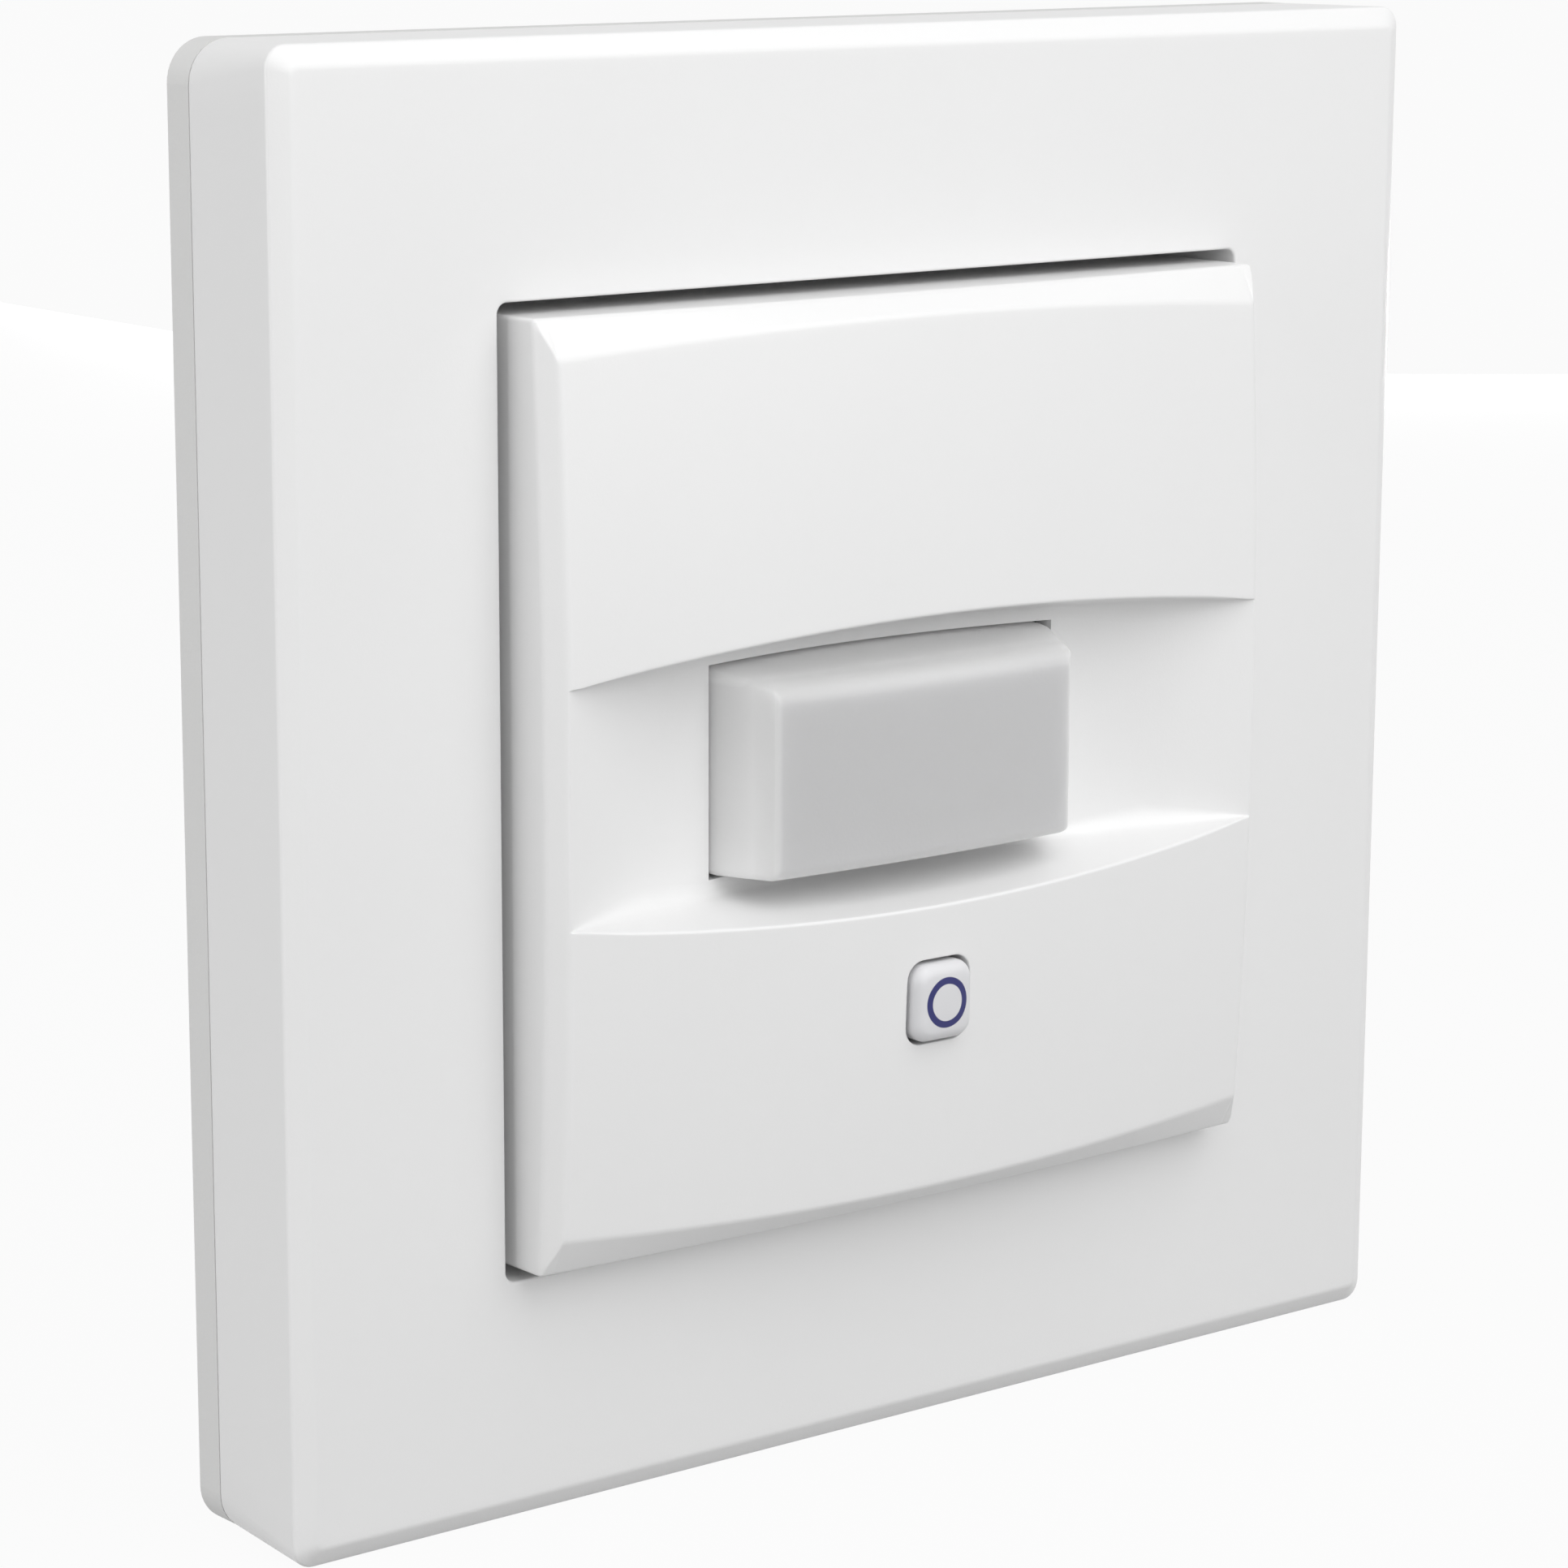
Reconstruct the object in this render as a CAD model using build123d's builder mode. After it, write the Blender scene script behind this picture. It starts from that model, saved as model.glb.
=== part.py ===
from build123d import *
from math import atan2, degrees, sqrt
import os

os.makedirs("parts", exist_ok=True)

# A surface-mounted wall switch with a motion sensor behind its rocker plate, in millimetres.
# The wall is the plane Y = 0 and the front faces -Y, with +X to the right and +Z up. The origin is
# the centre of the wall face. A name with out in it is a distance from the wall, and Plane.XZ.offset(d)
# is the sketch plane at that distance, so an extrusion with a positive amount grows away from the wall.

# Batteries: two LR03 cells lying across the housing, above and below the sensor's well
CELL_R = 5.25
CELL_LENGTH = 44.5
CELL_NUB_R = 1.9
CELL_NUB = 1.0
CELL_BACK_OUT = 0.35
BAY_GAP = 0.2
BAY_END_GAP = 0.35
BAY_WINDOW = 6.0
BAY_COVER = 0.15

# Chassis round the cells and the well
CONTACT_ROOM = 1.6
CONTACT_SLOT_HALF_Z = 4.6
CONTACT_SLOT_PAST = 4.6
CHASSIS_WALL = 1.7
CHASSIS_BACK_OUT = 0.4
CHASSIS_CORNER = 1.0
FOOT_STEP = 0.9
WELL_HALF_Z = 10.4
WELL_WALL = 1.75
WELL_END_WALL = 1.9
WELL_FLOOR = 1.0
REST_HIGH = 0.6
REST_SIDE = 2.6
REST_INSET = 1.8
CATCH_DEEP = 0.7
CATCH_GAP = 0.2

# Contact strips at the ends of the cells
CONTACT_STRIP = 0.3
CONTACT_WIDE = 5.0
CONTACT_HALF_Z = 3.6
CONTACT_FOOT_Z = 2.2
CONTACT_TIP_Z = 0.9

# Boards and their screws
MAIN_BOARD = 0.8
MAIN_BOARD_INSET = 0.7
SENSOR_BOARD = 1.0
SENSOR_BOARD_GAP_X = 0.2
SENSOR_BOARD_GAP_Z = 0.6
BOARD_SCREW_INSET = 2.1
BOARD_SCREW_Z = 11.8
BOARD_SCREW_R = 0.8
BOARD_SCREW_DEEP = 6.0
BOARD_SCREW_HEAD_R = 1.3
BOARD_SCREW_HEAD = 0.8
SCREW_PLAY = 0.15
SCREW_SIDES = 12
SHAFT_CLEARANCE = 0.05
PIN_COUNT = 4
PIN_SIDE = 0.4
PIN_HOLE_R = 0.4
PIN_HOLE_SIDES = 8
PIN_STEP = 2.0
PIN_INSET = 1.9
HEADER_WIDE = 1.2
HEADER_HIGH = 2.0

# Switches on the main board, with sprung stems, and the status light
SWITCH_Z = 20.6
SWITCH_SIDE = 4.5
SWITCH_HIGH = 1.4
STEM_R = 1.1
STEM_CLEARANCE = 0.05
STEM_FOOT = 0.65
STEM_PROUD = 0.55
STEM_EDGE = 0.25
POST_SIDE = 3.0
POST_GAP = 0.05
BUTTON_SWITCH_SIDE = 3.4
BUTTON_SWITCH_HIGH = 0.6
BUTTON_STEM_R = 0.8
BUTTON_STEM_FOOT = 0.4
BUTTON_STEM_PROUD = 0.5
STATUS_LIGHT_X = 2.6
STATUS_LIGHT_WIDE = 0.8
STATUS_LIGHT_LONG = 1.6
STATUS_LIGHT_HIGH = 0.5

# Rocker plate: a square moulding with a domed face, pivoting on the chassis
SKIRT_WALL = 1.4
SKIRT_GAP = 0.375
SKIRT_HIGH = 11.6
CROWN_RISE = 5.1
DOME_R_X = 310.0
DOME_R_Z = 380.0
SKIN = 1.9
RIM_FALL = 2.42
RIM_DROP = 0.88
SIDE_BEVEL = 0.9
END_BEVEL = 1.155
END_BEVEL_MORE = 1.17
RIBS_EACH_SIDE = 2
RIB_STEP = 9.0
RIB_WIDE = 0.8
RIB_BELOW = 2.8
PIVOT_BELOW = 9.3
PIVOT_R = 1.2
PIVOT_CLEARANCE = 0.05
PIVOT_HOLD = 1.2

# The eye-shaped scoop across the rocker plate and the opening in its floor
SCOOP_INSET = 0.675
SCOOP_END_STEP = 0.015
SCOOP_DEEP = 5.84
FLOOR_HALF = 7.44
FLOOR_NARROWS = 0.54
TOP_HALF = 9.215
TOP_NARROWS = 1.695
SCOOP_PAST = 2.0
SCOOP_WALL = 1.2
SCOOP_FLOOR = 1.1
SCOOP_CLEARANCE_X = 0.28
SCOOP_CLEARANCE_Z = 0.96
EYE_GAP_X = 0.35
EYE_GAP_Z = 0.3
EYE_ARCH = 0.7

# Push-button low on the rocker plate
BUTTON_Z = -14.7
BUTTON_WIDE = 4.9
BUTTON_HIGH = 5.2
BUTTON_CORNER = 1.1
BUTTON_GAP = 0.2
BUTTON_PROUD = 0.6
BUTTON_EDGE = 0.5
BUTTON_FLANGE = 0.75
BUTTON_FLANGE_THICK = 0.5
BUTTON_SEAT_BELOW = 2.1
BUTTON_COLLAR = 1.0

# Lens with its holder
LENS_HALF_X = 13.1
LENS_HALF_Z = 5.9
LENS_NARROWS = 2.0
LENS_SHOULDER_BELOW = 5.5
LENS_FRONT_BELOW = 1.5
LENS_BOW = 0.5
LENS_WALL = 1.0
LENS_TOP_EDGE = 1.4
LENS_BOTTOM_EDGE = 0.9
LENS_FLANGE = 1.5
LENS_FLANGE_THICK = 0.8
HOLDER_BELOW = 9.7
HOLDER_WALL = 1.3
HOLDER_CORNER = 1.2

# Pyroelectric sensor under the lens
CAN_R = 4.1
CAN_FLANGE_R = 4.55
CAN_FLANGE = 0.5
CAN_HIGH = 4.2
CAN_EDGE = 0.35
SPACER_R = 4.3
SPACER_HIGH = 1.0
LEAD_COUNT = 3
LEADS_AT_R = 2.54
LEAD_SIDE = 0.45
LEAD_HOLE_R = 0.45
WINDOW_WIDE = 4.6
WINDOW_HIGH = 3.6
WINDOW_DEEP = 0.35
WINDOW_GAP = 0.05

# Small parts on the boards
CHIP_SIDE = 6.0
CHIP_HIGH = 0.9
CHIP_X = -13.5
CHIP_Z = 17.0
RADIO_GAP = 0.8
RADIO_HIGH = 15.0
RADIO_BOARD = 0.8
SHIELD_MARGIN_X = 0.3
SHIELD_MARGIN_Z = 1.3
SHIELD_HIGH = 2.0
SHIELD_SHEET = 0.2
AERIAL_STRIP = 0.4
AERIAL_WIDE = 0.8
AERIAL_ROOM = 1.4
AERIAL_HIGH = 4.8
CAPACITOR_R = 2.5
CAPACITOR_HIGH = 5.4
CAPACITOR_EDGE = 0.4
CAPACITOR_GAP = 1.3
LIGHT_SENSOR_X = 9.0
LIGHT_SENSOR_SIDE = 2.0
LIGHT_SENSOR_HIGH = 0.7

# Frame and mounting plate
FRAME_BORDER = 14.5
FRAME_CORNER = 2.5
PLATE_GAP = 0.825
CROWN_PROUD = 5.5
BACK_PLATE = 2.15
FACE_EDGE_WIDE = 1.2
FACE_EDGE_DEEP = 0.75
FRAME_WALL = 1.6
FRAME_FACE = 1.8
OPENING_CORNER = 0.7
OPENING_EDGE = 0.2
COLLAR_WALL = 1.4
COLLAR_GAP = 0.15
SCREW_ROOM = 2.85
HOOK_WIDE = 7.0
HOOK_THICK = 1.2
HOOK_NOSE = 0.5
HOOK_BACK_OUT = 0.45
HOOK_GAP = 0.1
HOOK_SIDE_GAP = 0.5
SCREW_AT = 30.0
SCREW_HOLE_R = 2.15
SCREW_SINK_R = 3.4
RIM_WIDE = 6.3
RING_WIDE = 2.2
BRIDGE_WIDE = 16.0
CUTOUT_GAP = 0.3
TONGUE_AT = 14.0
TONGUE_WIDE = 7.0
TONGUE_THICK = 0.8
TONGUE_HIGH = 1.35
TONGUE_GAP = 0.25
NOSE_HIGH = 0.6
NOSE_DEEP = 0.45

# Distances from the wall, from the cells outwards
cell_out = CELL_BACK_OUT + CELL_R
chassis_front = cell_out + CELL_R + BAY_COVER
main_board_front = chassis_front + MAIN_BOARD
well_floor_out = CHASSIS_BACK_OUT + WELL_FLOOR
sensor_board_back = well_floor_out + REST_HIGH
sensor_board_front = sensor_board_back + SENSOR_BOARD
crown_out = chassis_front + CROWN_RISE
face_out = crown_out - CROWN_PROUD
rim_middle_out = crown_out - RIM_FALL
skirt_out = crown_out - SKIRT_HIGH
pivot_out = crown_out - PIVOT_BELOW
holder_top_out = crown_out - HOLDER_BELOW
post_out = main_board_front + SWITCH_HIGH + STEM_PROUD + POST_GAP
button_seat_out = crown_out - BUTTON_SEAT_BELOW
tongue_top_out = BACK_PLATE + TONGUE_HIGH

# Half sizes across the front, from the cells outwards
cell_end = CELL_LENGTH / 2
bay_half_x = cell_end + BAY_END_GAP
contact_slot_x = bay_half_x + CONTACT_ROOM
chassis_half = contact_slot_x + CHASSIS_WALL
cell_at_z = WELL_HALF_Z + WELL_WALL + CELL_R + BAY_GAP
well_half_x = chassis_half - WELL_END_WALL
sensor_board_x = well_half_x - SENSOR_BOARD_GAP_X
sensor_board_z = WELL_HALF_Z - SENSOR_BOARD_GAP_Z
main_board_half = chassis_half - MAIN_BOARD_INSET
board_screw_x = chassis_half - BOARD_SCREW_INSET
pin_x = main_board_half - PIN_INSET
half_inside = chassis_half + SKIRT_GAP
half_plate = half_inside + SKIRT_WALL
scoop_half = half_plate - SCOOP_INSET
half_opening = half_plate + PLATE_GAP
half_frame = half_opening + FRAME_BORDER
flange_half_x = LENS_HALF_X + LENS_FLANGE
flange_half_z = LENS_HALF_Z + LENS_FLANGE
rim_inside = half_frame - RIM_WIDE
corners = [(x, z) for x in (-1, 1) for z in (-1, 1)]


def dome_out(x, z):
    """Distance of the rocker plate's domed face from the wall."""
    return crown_out - x * x / (2 * DOME_R_X) - z * z / (2 * DOME_R_Z)


def rim_out(along):
    """Distance from the wall of the plate's rim, which is lower towards the corners."""
    return rim_middle_out - RIM_DROP * (along / half_plate) ** 2


scoop_end_out = dome_out(half_plate - SIDE_BEVEL, 0) - SCOOP_END_STEP
scoop_top_out = crown_out + SCOOP_PAST
floor_out = scoop_end_out - SCOOP_DEEP
floor_under = floor_out - SCOOP_FLOOR
board_eye_x = scoop_half * sqrt((main_board_front + SCOOP_CLEARANCE_X - floor_under) / SCOOP_DEEP)
board_eye_z = FLOOR_HALF + SCOOP_WALL + SCOOP_CLEARANCE_Z

# Mounting plate: screwed to the wall. Four bridges with the screw holes join its rim to the ring round
# the square cut-out that the chassis stands in.
cutout = 2 * (chassis_half - FOOT_STEP + CUTOUT_GAP)
ring = cutout + 2 * RING_WIDE
with BuildPart() as mounting_plate:
    with BuildSketch(Plane.XZ):
        RectangleRounded(2 * half_frame, 2 * half_frame, FRAME_CORNER)
        Rectangle(2 * rim_inside, 2 * rim_inside, mode=Mode.SUBTRACT)
        Rectangle(ring, ring)
        Rectangle(BRIDGE_WIDE, 2 * half_frame)
        Rectangle(2 * half_frame, BRIDGE_WIDE)
        Rectangle(cutout, cutout, mode=Mode.SUBTRACT)
    extrude(amount=BACK_PLATE)
    with Locations(Plane.XZ.offset(BACK_PLATE)):
        with PolarLocations(SCREW_AT, 4):
            CounterSinkHole(SCREW_HOLE_R, SCREW_SINK_R, depth=BACK_PLATE, counter_sink_angle=90)
    # Pockets in the back of the rim, where the noses of the frame's hooks catch
    hook_x = rim_inside - HOOK_SIDE_GAP - HOOK_WIDE / 2
    pocket_deep = HOOK_NOSE + 2 * HOOK_GAP
    with BuildSketch(Plane.XZ):
        for x, z in corners:
            with Locations((x * hook_x, z * (rim_inside + pocket_deep / 2))):
                Rectangle(HOOK_WIDE + 2 * HOOK_SIDE_GAP, pocket_deep)
    extrude(amount=BACK_PLATE / 2, mode=Mode.SUBTRACT)
    # Four latch tongues beside the cut-out, whose noses hold the chassis
    tongue_low = chassis_half + TONGUE_GAP
    with BuildSketch(Plane.XZ.offset(BACK_PLATE)):
        for x, z in corners:
            with Locations((x * TONGUE_AT, z * (tongue_low + TONGUE_THICK / 2))):
                Rectangle(TONGUE_WIDE, TONGUE_THICK)
    extrude(amount=TONGUE_HIGH)
    with BuildSketch(Plane.XZ.offset(tongue_top_out - NOSE_HIGH)):
        nose = NOSE_DEEP + TONGUE_GAP
        for x, z in corners:
            with Locations((x * TONGUE_AT, z * (tongue_low - nose / 2))):
                Rectangle(TONGUE_WIDE, nose)
    extrude(amount=NOSE_HIGH)
mounting_plate.part.label = "mounting_plate"
export_step(mounting_plate.part, "parts/mounting_plate.step")

# Frame: a square cover, hollow behind, with a bevelled face, a collar round its opening and four hooks
edge_out = face_out - FACE_EDGE_DEEP
with BuildPart() as frame:
    with BuildSketch(Plane.XZ.offset(BACK_PLATE)):
        RectangleRounded(2 * half_frame, 2 * half_frame, FRAME_CORNER)
    extrude(amount=edge_out - BACK_PLATE)
    with BuildSketch(Plane.XZ.offset(edge_out)):
        RectangleRounded(2 * half_frame, 2 * half_frame, FRAME_CORNER)
    extrude(amount=FACE_EDGE_DEEP, taper=degrees(atan2(FACE_EDGE_WIDE, FACE_EDGE_DEEP)))
    inside = 2 * (half_frame - FRAME_WALL)
    collar = 2 * (half_opening + COLLAR_WALL)
    with BuildSketch(Plane.XZ.offset(BACK_PLATE)):
        Rectangle(inside, inside)
        Rectangle(collar, collar, mode=Mode.SUBTRACT)
    extrude(amount=face_out - FRAME_FACE - BACK_PLATE, mode=Mode.SUBTRACT)
    with BuildSketch(Plane.XZ.offset(BACK_PLATE)):
        Rectangle(collar, collar)
    extrude(amount=COLLAR_GAP, mode=Mode.SUBTRACT)
    # The collar stands back from the bridges with the wall screws
    with BuildSketch(Plane.XZ.offset(BACK_PLATE)):
        Rectangle(BRIDGE_WIDE, collar)
        Rectangle(collar, BRIDGE_WIDE)
    extrude(amount=SCREW_ROOM, mode=Mode.SUBTRACT)
    with BuildSketch(Plane.XZ.offset(BACK_PLATE)):
        RectangleRounded(2 * half_opening, 2 * half_opening, OPENING_CORNER)
    extrude(amount=face_out, mode=Mode.SUBTRACT)
    face = frame.faces().sort_by(Axis.Y)[0]
    chamfer(face.inner_wires()[0].edges(), OPENING_EDGE)
    hook_z = rim_inside - HOOK_GAP - HOOK_THICK / 2
    with BuildSketch(Plane.XZ.offset(HOOK_BACK_OUT)):
        for x, z in corners:
            with Locations((x * hook_x, z * hook_z)):
                Rectangle(HOOK_WIDE, HOOK_THICK)
    extrude(amount=face_out - FRAME_FACE - HOOK_BACK_OUT)
    with BuildSketch(Plane.XZ.offset(HOOK_BACK_OUT)):
        for x, z in corners:
            with Locations((x * hook_x, z * (hook_z + HOOK_THICK / 2 + HOOK_NOSE / 2))):
                Rectangle(HOOK_WIDE, HOOK_NOSE)
    extrude(amount=HOOK_NOSE)
frame.part.label = "frame"
export_step(frame.part, "parts/frame.step")


def arched_bar(crest_out, drop_out, reach):
    """A bar along Z between the wall and an arc, crest_out high in the middle and drop_out at x = reach."""
    with BuildPart() as bar:
        with BuildSketch(Plane.XY):
            with BuildLine():
                ThreePointArc((-reach, -drop_out), (0, -crest_out), (reach, -drop_out))
                Polyline((reach, -drop_out), (reach, 0), (-reach, 0), (-reach, -drop_out))
            make_face()
        extrude(amount=half_frame, both=True)
    return bar.part


def domed_ring():
    """A ring turned about an axis in front of the wall, whose outside is a face domed both ways."""
    low = half_frame * half_frame / (2 * DOME_R_X) - crown_out
    with BuildPart() as turned:
        with BuildSketch(Plane.XY):
            with BuildLine():
                ThreePointArc((-half_frame, low), (0, -crown_out), (half_frame, low))
                Polyline((half_frame, low), (half_frame, 0), (-half_frame, 0), (-half_frame, low))
            make_face()
        revolve(axis=Axis((0, DOME_R_Z - crown_out, 0), (1, 0, 0)), revolution_arc=360)
    return turned.part


def bevel_wedge(border, border_out, edge_out):
    """Corners of the wedge cut off outside a bevel, as (distance from the middle, Y) pairs.

    The bevel runs from the dome at border to the rim at the plate's side, and the wedge goes past both."""
    past = SKIRT_WALL
    slope = (border_out - edge_out) / (half_plate - border)
    top = border_out + slope * past
    return [(border - past, -top), (half_plate + past, slope * past - edge_out), (half_plate + past, -top)]


# The wedges that cut the plate's bevels: crescents above and below, even bevels left and right
wedge_reach = half_plate + SKIRT_GAP
with BuildPart() as end_wedge:
    for x in (-wedge_reach, 0, wedge_reach):
        border = half_plate - END_BEVEL - END_BEVEL_MORE * (x / half_plate) ** 2
        wedge = bevel_wedge(border, dome_out(x, border), rim_out(x))
        with BuildSketch(Plane.YZ.offset(x)):
            Polygon(*[(y, z) for z, y in wedge], align=None)
    loft()

with BuildPart() as side_wedge:
    for z in (-wedge_reach, 0, wedge_reach):
        border = half_plate - SIDE_BEVEL
        wedge = bevel_wedge(border, dome_out(border, z), rim_out(z))
        with BuildSketch(Plane.XY.offset(z)):
            Polygon(*wedge, align=None)
    loft()

# The scoop's hollow: a hollow floor lowest in the middle between steep walls that narrow to both ends
with BuildPart() as scoop_hollow:
    for x in (-scoop_half, 0, scoop_half):
        share = (x / scoop_half) ** 2
        low = -(floor_out + SCOOP_DEEP * share)
        inner = FLOOR_HALF - FLOOR_NARROWS * share
        outer = TOP_HALF - TOP_NARROWS * share
        with BuildSketch(Plane.YZ.offset(x)):
            Polygon((low, -inner), (low, inner), (-scoop_top_out, outer), (-scoop_top_out, -outer), align=None)
    loft()

# The moulding left round the scoop inside the plate: straight walls over an arched underside
with BuildPart() as scoop_moulding:
    with BuildSketch(Plane.YZ.offset(-half_plate)):
        inner = FLOOR_HALF + SCOOP_WALL
        outer = TOP_HALF + SCOOP_WALL
        Polygon((-floor_under, -inner), (-floor_under, inner), (-scoop_top_out, outer),
                (-scoop_top_out, -outer), align=None)
    extrude(amount=2 * half_plate)
    add(arched_bar(floor_under, floor_under + SCOOP_DEEP, scoop_half), mode=Mode.SUBTRACT)

# The plate's hollow under an arched ceiling, less the ribs, the button's seat and two posts
ceiling_out = crown_out - SKIN
ceiling_drop = half_inside * half_inside / (2 * DOME_R_X)
with BuildPart() as plate_hollow:
    with BuildSketch(Plane.XZ.offset(skirt_out - SKIRT_WALL)):
        Rectangle(2 * half_inside, 2 * half_inside)
    extrude(amount=crown_out)
    add(arched_bar(ceiling_out, ceiling_out - ceiling_drop, half_inside), mode=Mode.INTERSECT)
    add(scoop_moulding.part, mode=Mode.SUBTRACT)
    with BuildSketch(Plane.XZ.offset(crown_out - RIB_BELOW)):
        for count in range(1, RIBS_EACH_SIDE + 1):
            with Locations((count * RIB_STEP, 0), (-count * RIB_STEP, 0)):
                Rectangle(RIB_WIDE, 2 * half_inside)
    extrude(amount=crown_out, mode=Mode.SUBTRACT)
    with BuildSketch(Plane.XZ.offset(button_seat_out)):
        with Locations((0, BUTTON_Z)):
            margin = 2 * (BUTTON_FLANGE + BUTTON_COLLAR)
            Rectangle(BUTTON_WIDE + margin, BUTTON_HIGH + margin)
    extrude(amount=crown_out, mode=Mode.SUBTRACT)
    with BuildSketch(Plane.XZ.offset(post_out)):
        with Locations((0, SWITCH_Z), (0, -SWITCH_Z)):
            Rectangle(POST_SIDE, POST_SIDE)
    extrude(amount=crown_out, mode=Mode.SUBTRACT)

# Rocker plate
with BuildPart() as rocker_plate:
    with BuildSketch(Plane.XZ.offset(skirt_out)):
        Rectangle(2 * half_plate, 2 * half_plate)
    extrude(amount=crown_out)
    add(domed_ring(), mode=Mode.INTERSECT)
    add(end_wedge.part, mode=Mode.SUBTRACT)
    add(end_wedge.part.mirror(Plane.XY), mode=Mode.SUBTRACT)
    add(side_wedge.part, mode=Mode.SUBTRACT)
    add(side_wedge.part.mirror(Plane.YZ), mode=Mode.SUBTRACT)
    add(plate_hollow.part, mode=Mode.SUBTRACT)
    add(scoop_hollow.part, mode=Mode.SUBTRACT)
    # The lens opening, arched above and below
    eye_x = LENS_HALF_X + EYE_GAP_X
    eye_z = LENS_HALF_Z + EYE_GAP_Z
    with BuildSketch(Plane.XZ.offset(holder_top_out)):
        with BuildLine():
            for side in (1, -1):
                left, right = (-eye_x, side * eye_z), (eye_x, side * eye_z)
                ThreePointArc(left, (0, side * (eye_z + EYE_ARCH)), right)
                Line((side * eye_x, eye_z), (side * eye_x, -eye_z))
        make_face()
    extrude(amount=SCOOP_DEEP, mode=Mode.SUBTRACT)
    with BuildSketch(Plane.XZ.offset(button_seat_out - BUTTON_COLLAR)):
        with Locations((0, BUTTON_Z)):
            RectangleRounded(BUTTON_WIDE + 2 * BUTTON_GAP, BUTTON_HIGH + 2 * BUTTON_GAP,
                             BUTTON_CORNER + BUTTON_GAP)
    extrude(amount=crown_out, mode=Mode.SUBTRACT)
    # Pivot pins inside the left and right skirts
    pin_end = chassis_half - PIVOT_HOLD
    for side in (1, -1):
        with BuildSketch(Plane.YZ.offset(side * pin_end)):
            with Locations((-pivot_out, 0)):
                Circle(PIVOT_R)
        extrude(amount=side * (half_inside + SKIRT_WALL / 2 - pin_end))
rocker_plate.part.label = "rocker_plate"
export_step(rocker_plate.part, "parts/rocker_plate.step")

# Push-button: a cap with a flange that stops behind the rocker plate's face
with BuildPart() as push_button:
    with BuildSketch(Plane.XZ.offset(button_seat_out)):
        with Locations((0, BUTTON_Z)):
            RectangleRounded(BUTTON_WIDE, BUTTON_HIGH, BUTTON_CORNER)
    extrude(amount=crown_out + BUTTON_PROUD - button_seat_out)
    chamfer(push_button.faces().sort_by(Axis.Y)[0].edges(), BUTTON_EDGE)
    with BuildSketch(Plane.XZ.offset(button_seat_out - BUTTON_FLANGE_THICK)):
        with Locations((0, BUTTON_Z)):
            Rectangle(BUTTON_WIDE + 2 * BUTTON_FLANGE, BUTTON_HIGH + 2 * BUTTON_FLANGE)
    extrude(amount=BUTTON_FLANGE_THICK)
push_button.part.label = "push_button"
export_step(push_button.part, "parts/push_button.step")

# Chassis: the housing behind the rocker plate, with two battery bays open to the wall, a well for the
# sensor open to the front, and the bores that the rocker plate pivots in
foot_half = chassis_half - FOOT_STEP
with BuildPart() as chassis:
    with BuildSketch(Plane.XZ.offset(CHASSIS_BACK_OUT)):
        Rectangle(2 * foot_half, 2 * foot_half)
    extrude(amount=BACK_PLATE - CHASSIS_BACK_OUT)
    with BuildSketch(Plane.XZ.offset(BACK_PLATE)):
        RectangleRounded(2 * chassis_half, 2 * chassis_half, CHASSIS_CORNER)
    extrude(amount=chassis_front - BACK_PLATE)
    with BuildSketch(Plane.XZ.offset(well_floor_out)):
        Rectangle(2 * well_half_x, 2 * WELL_HALF_Z)
    extrude(amount=chassis_front, mode=Mode.SUBTRACT)
    # Battery bays: straight-sided up to the cell's axis, round beyond it, with a window at the crown
    for side in (1, -1):
        middle = side * cell_at_z
        with BuildSketch(Plane.YZ.offset(-bay_half_x)):
            with Locations((-cell_out, middle)):
                Circle(CELL_R + BAY_GAP)
            with Locations((-cell_out / 2, middle)):
                Rectangle(cell_out, 2 * (CELL_R + BAY_GAP))
            with Locations((-chassis_front, middle)):
                Rectangle(CELL_R, BAY_WINDOW)
        extrude(amount=2 * bay_half_x, mode=Mode.SUBTRACT)
        with BuildSketch(Plane.XZ):
            with Locations((0, middle)):
                Rectangle(2 * contact_slot_x, 2 * CONTACT_SLOT_HALF_Z)
        extrude(amount=cell_out + CONTACT_SLOT_PAST, mode=Mode.SUBTRACT)
    # Rests for the sensor board and pilot holes for the main board's screws
    with BuildSketch(Plane.XZ.offset(well_floor_out)):
        rest_z = sensor_board_z - REST_INSET
        with GridLocations(2 * (sensor_board_x - REST_INSET), 2 * rest_z, 2, 2):
            Rectangle(REST_SIDE, REST_SIDE)
        with Locations((0, rest_z), (0, -rest_z)):
            Rectangle(REST_SIDE, REST_SIDE)
    extrude(amount=REST_HIGH)
    with BuildSketch(Plane.XZ.offset(chassis_front)):
        with GridLocations(2 * board_screw_x, 2 * BOARD_SCREW_Z, 2, 2):
            RegularPolygon(BOARD_SCREW_R, SCREW_SIDES)
    extrude(amount=-BOARD_SCREW_DEEP, mode=Mode.SUBTRACT)
    # Bores for the rocker's pivot pins
    with BuildSketch(Plane.YZ.offset(-chassis_half)):
        with Locations((-pivot_out, 0)):
            Circle(PIVOT_R + PIVOT_CLEARANCE)
    extrude(amount=2 * chassis_half, mode=Mode.SUBTRACT)
    # Catches for the mounting plate's latch tongues
    with BuildSketch(Plane.XZ.offset(tongue_top_out - NOSE_HIGH - CATCH_GAP)):
        for x, z in corners:
            with Locations((x * TONGUE_AT, z * (chassis_half - CATCH_DEEP / 2))):
                Rectangle(TONGUE_WIDE + 2 * CATCH_GAP, CATCH_DEEP)
    extrude(amount=NOSE_HIGH + 2 * CATCH_GAP, mode=Mode.SUBTRACT)
chassis.part.label = "chassis"
export_step(chassis.part, "parts/chassis.step")

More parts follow.
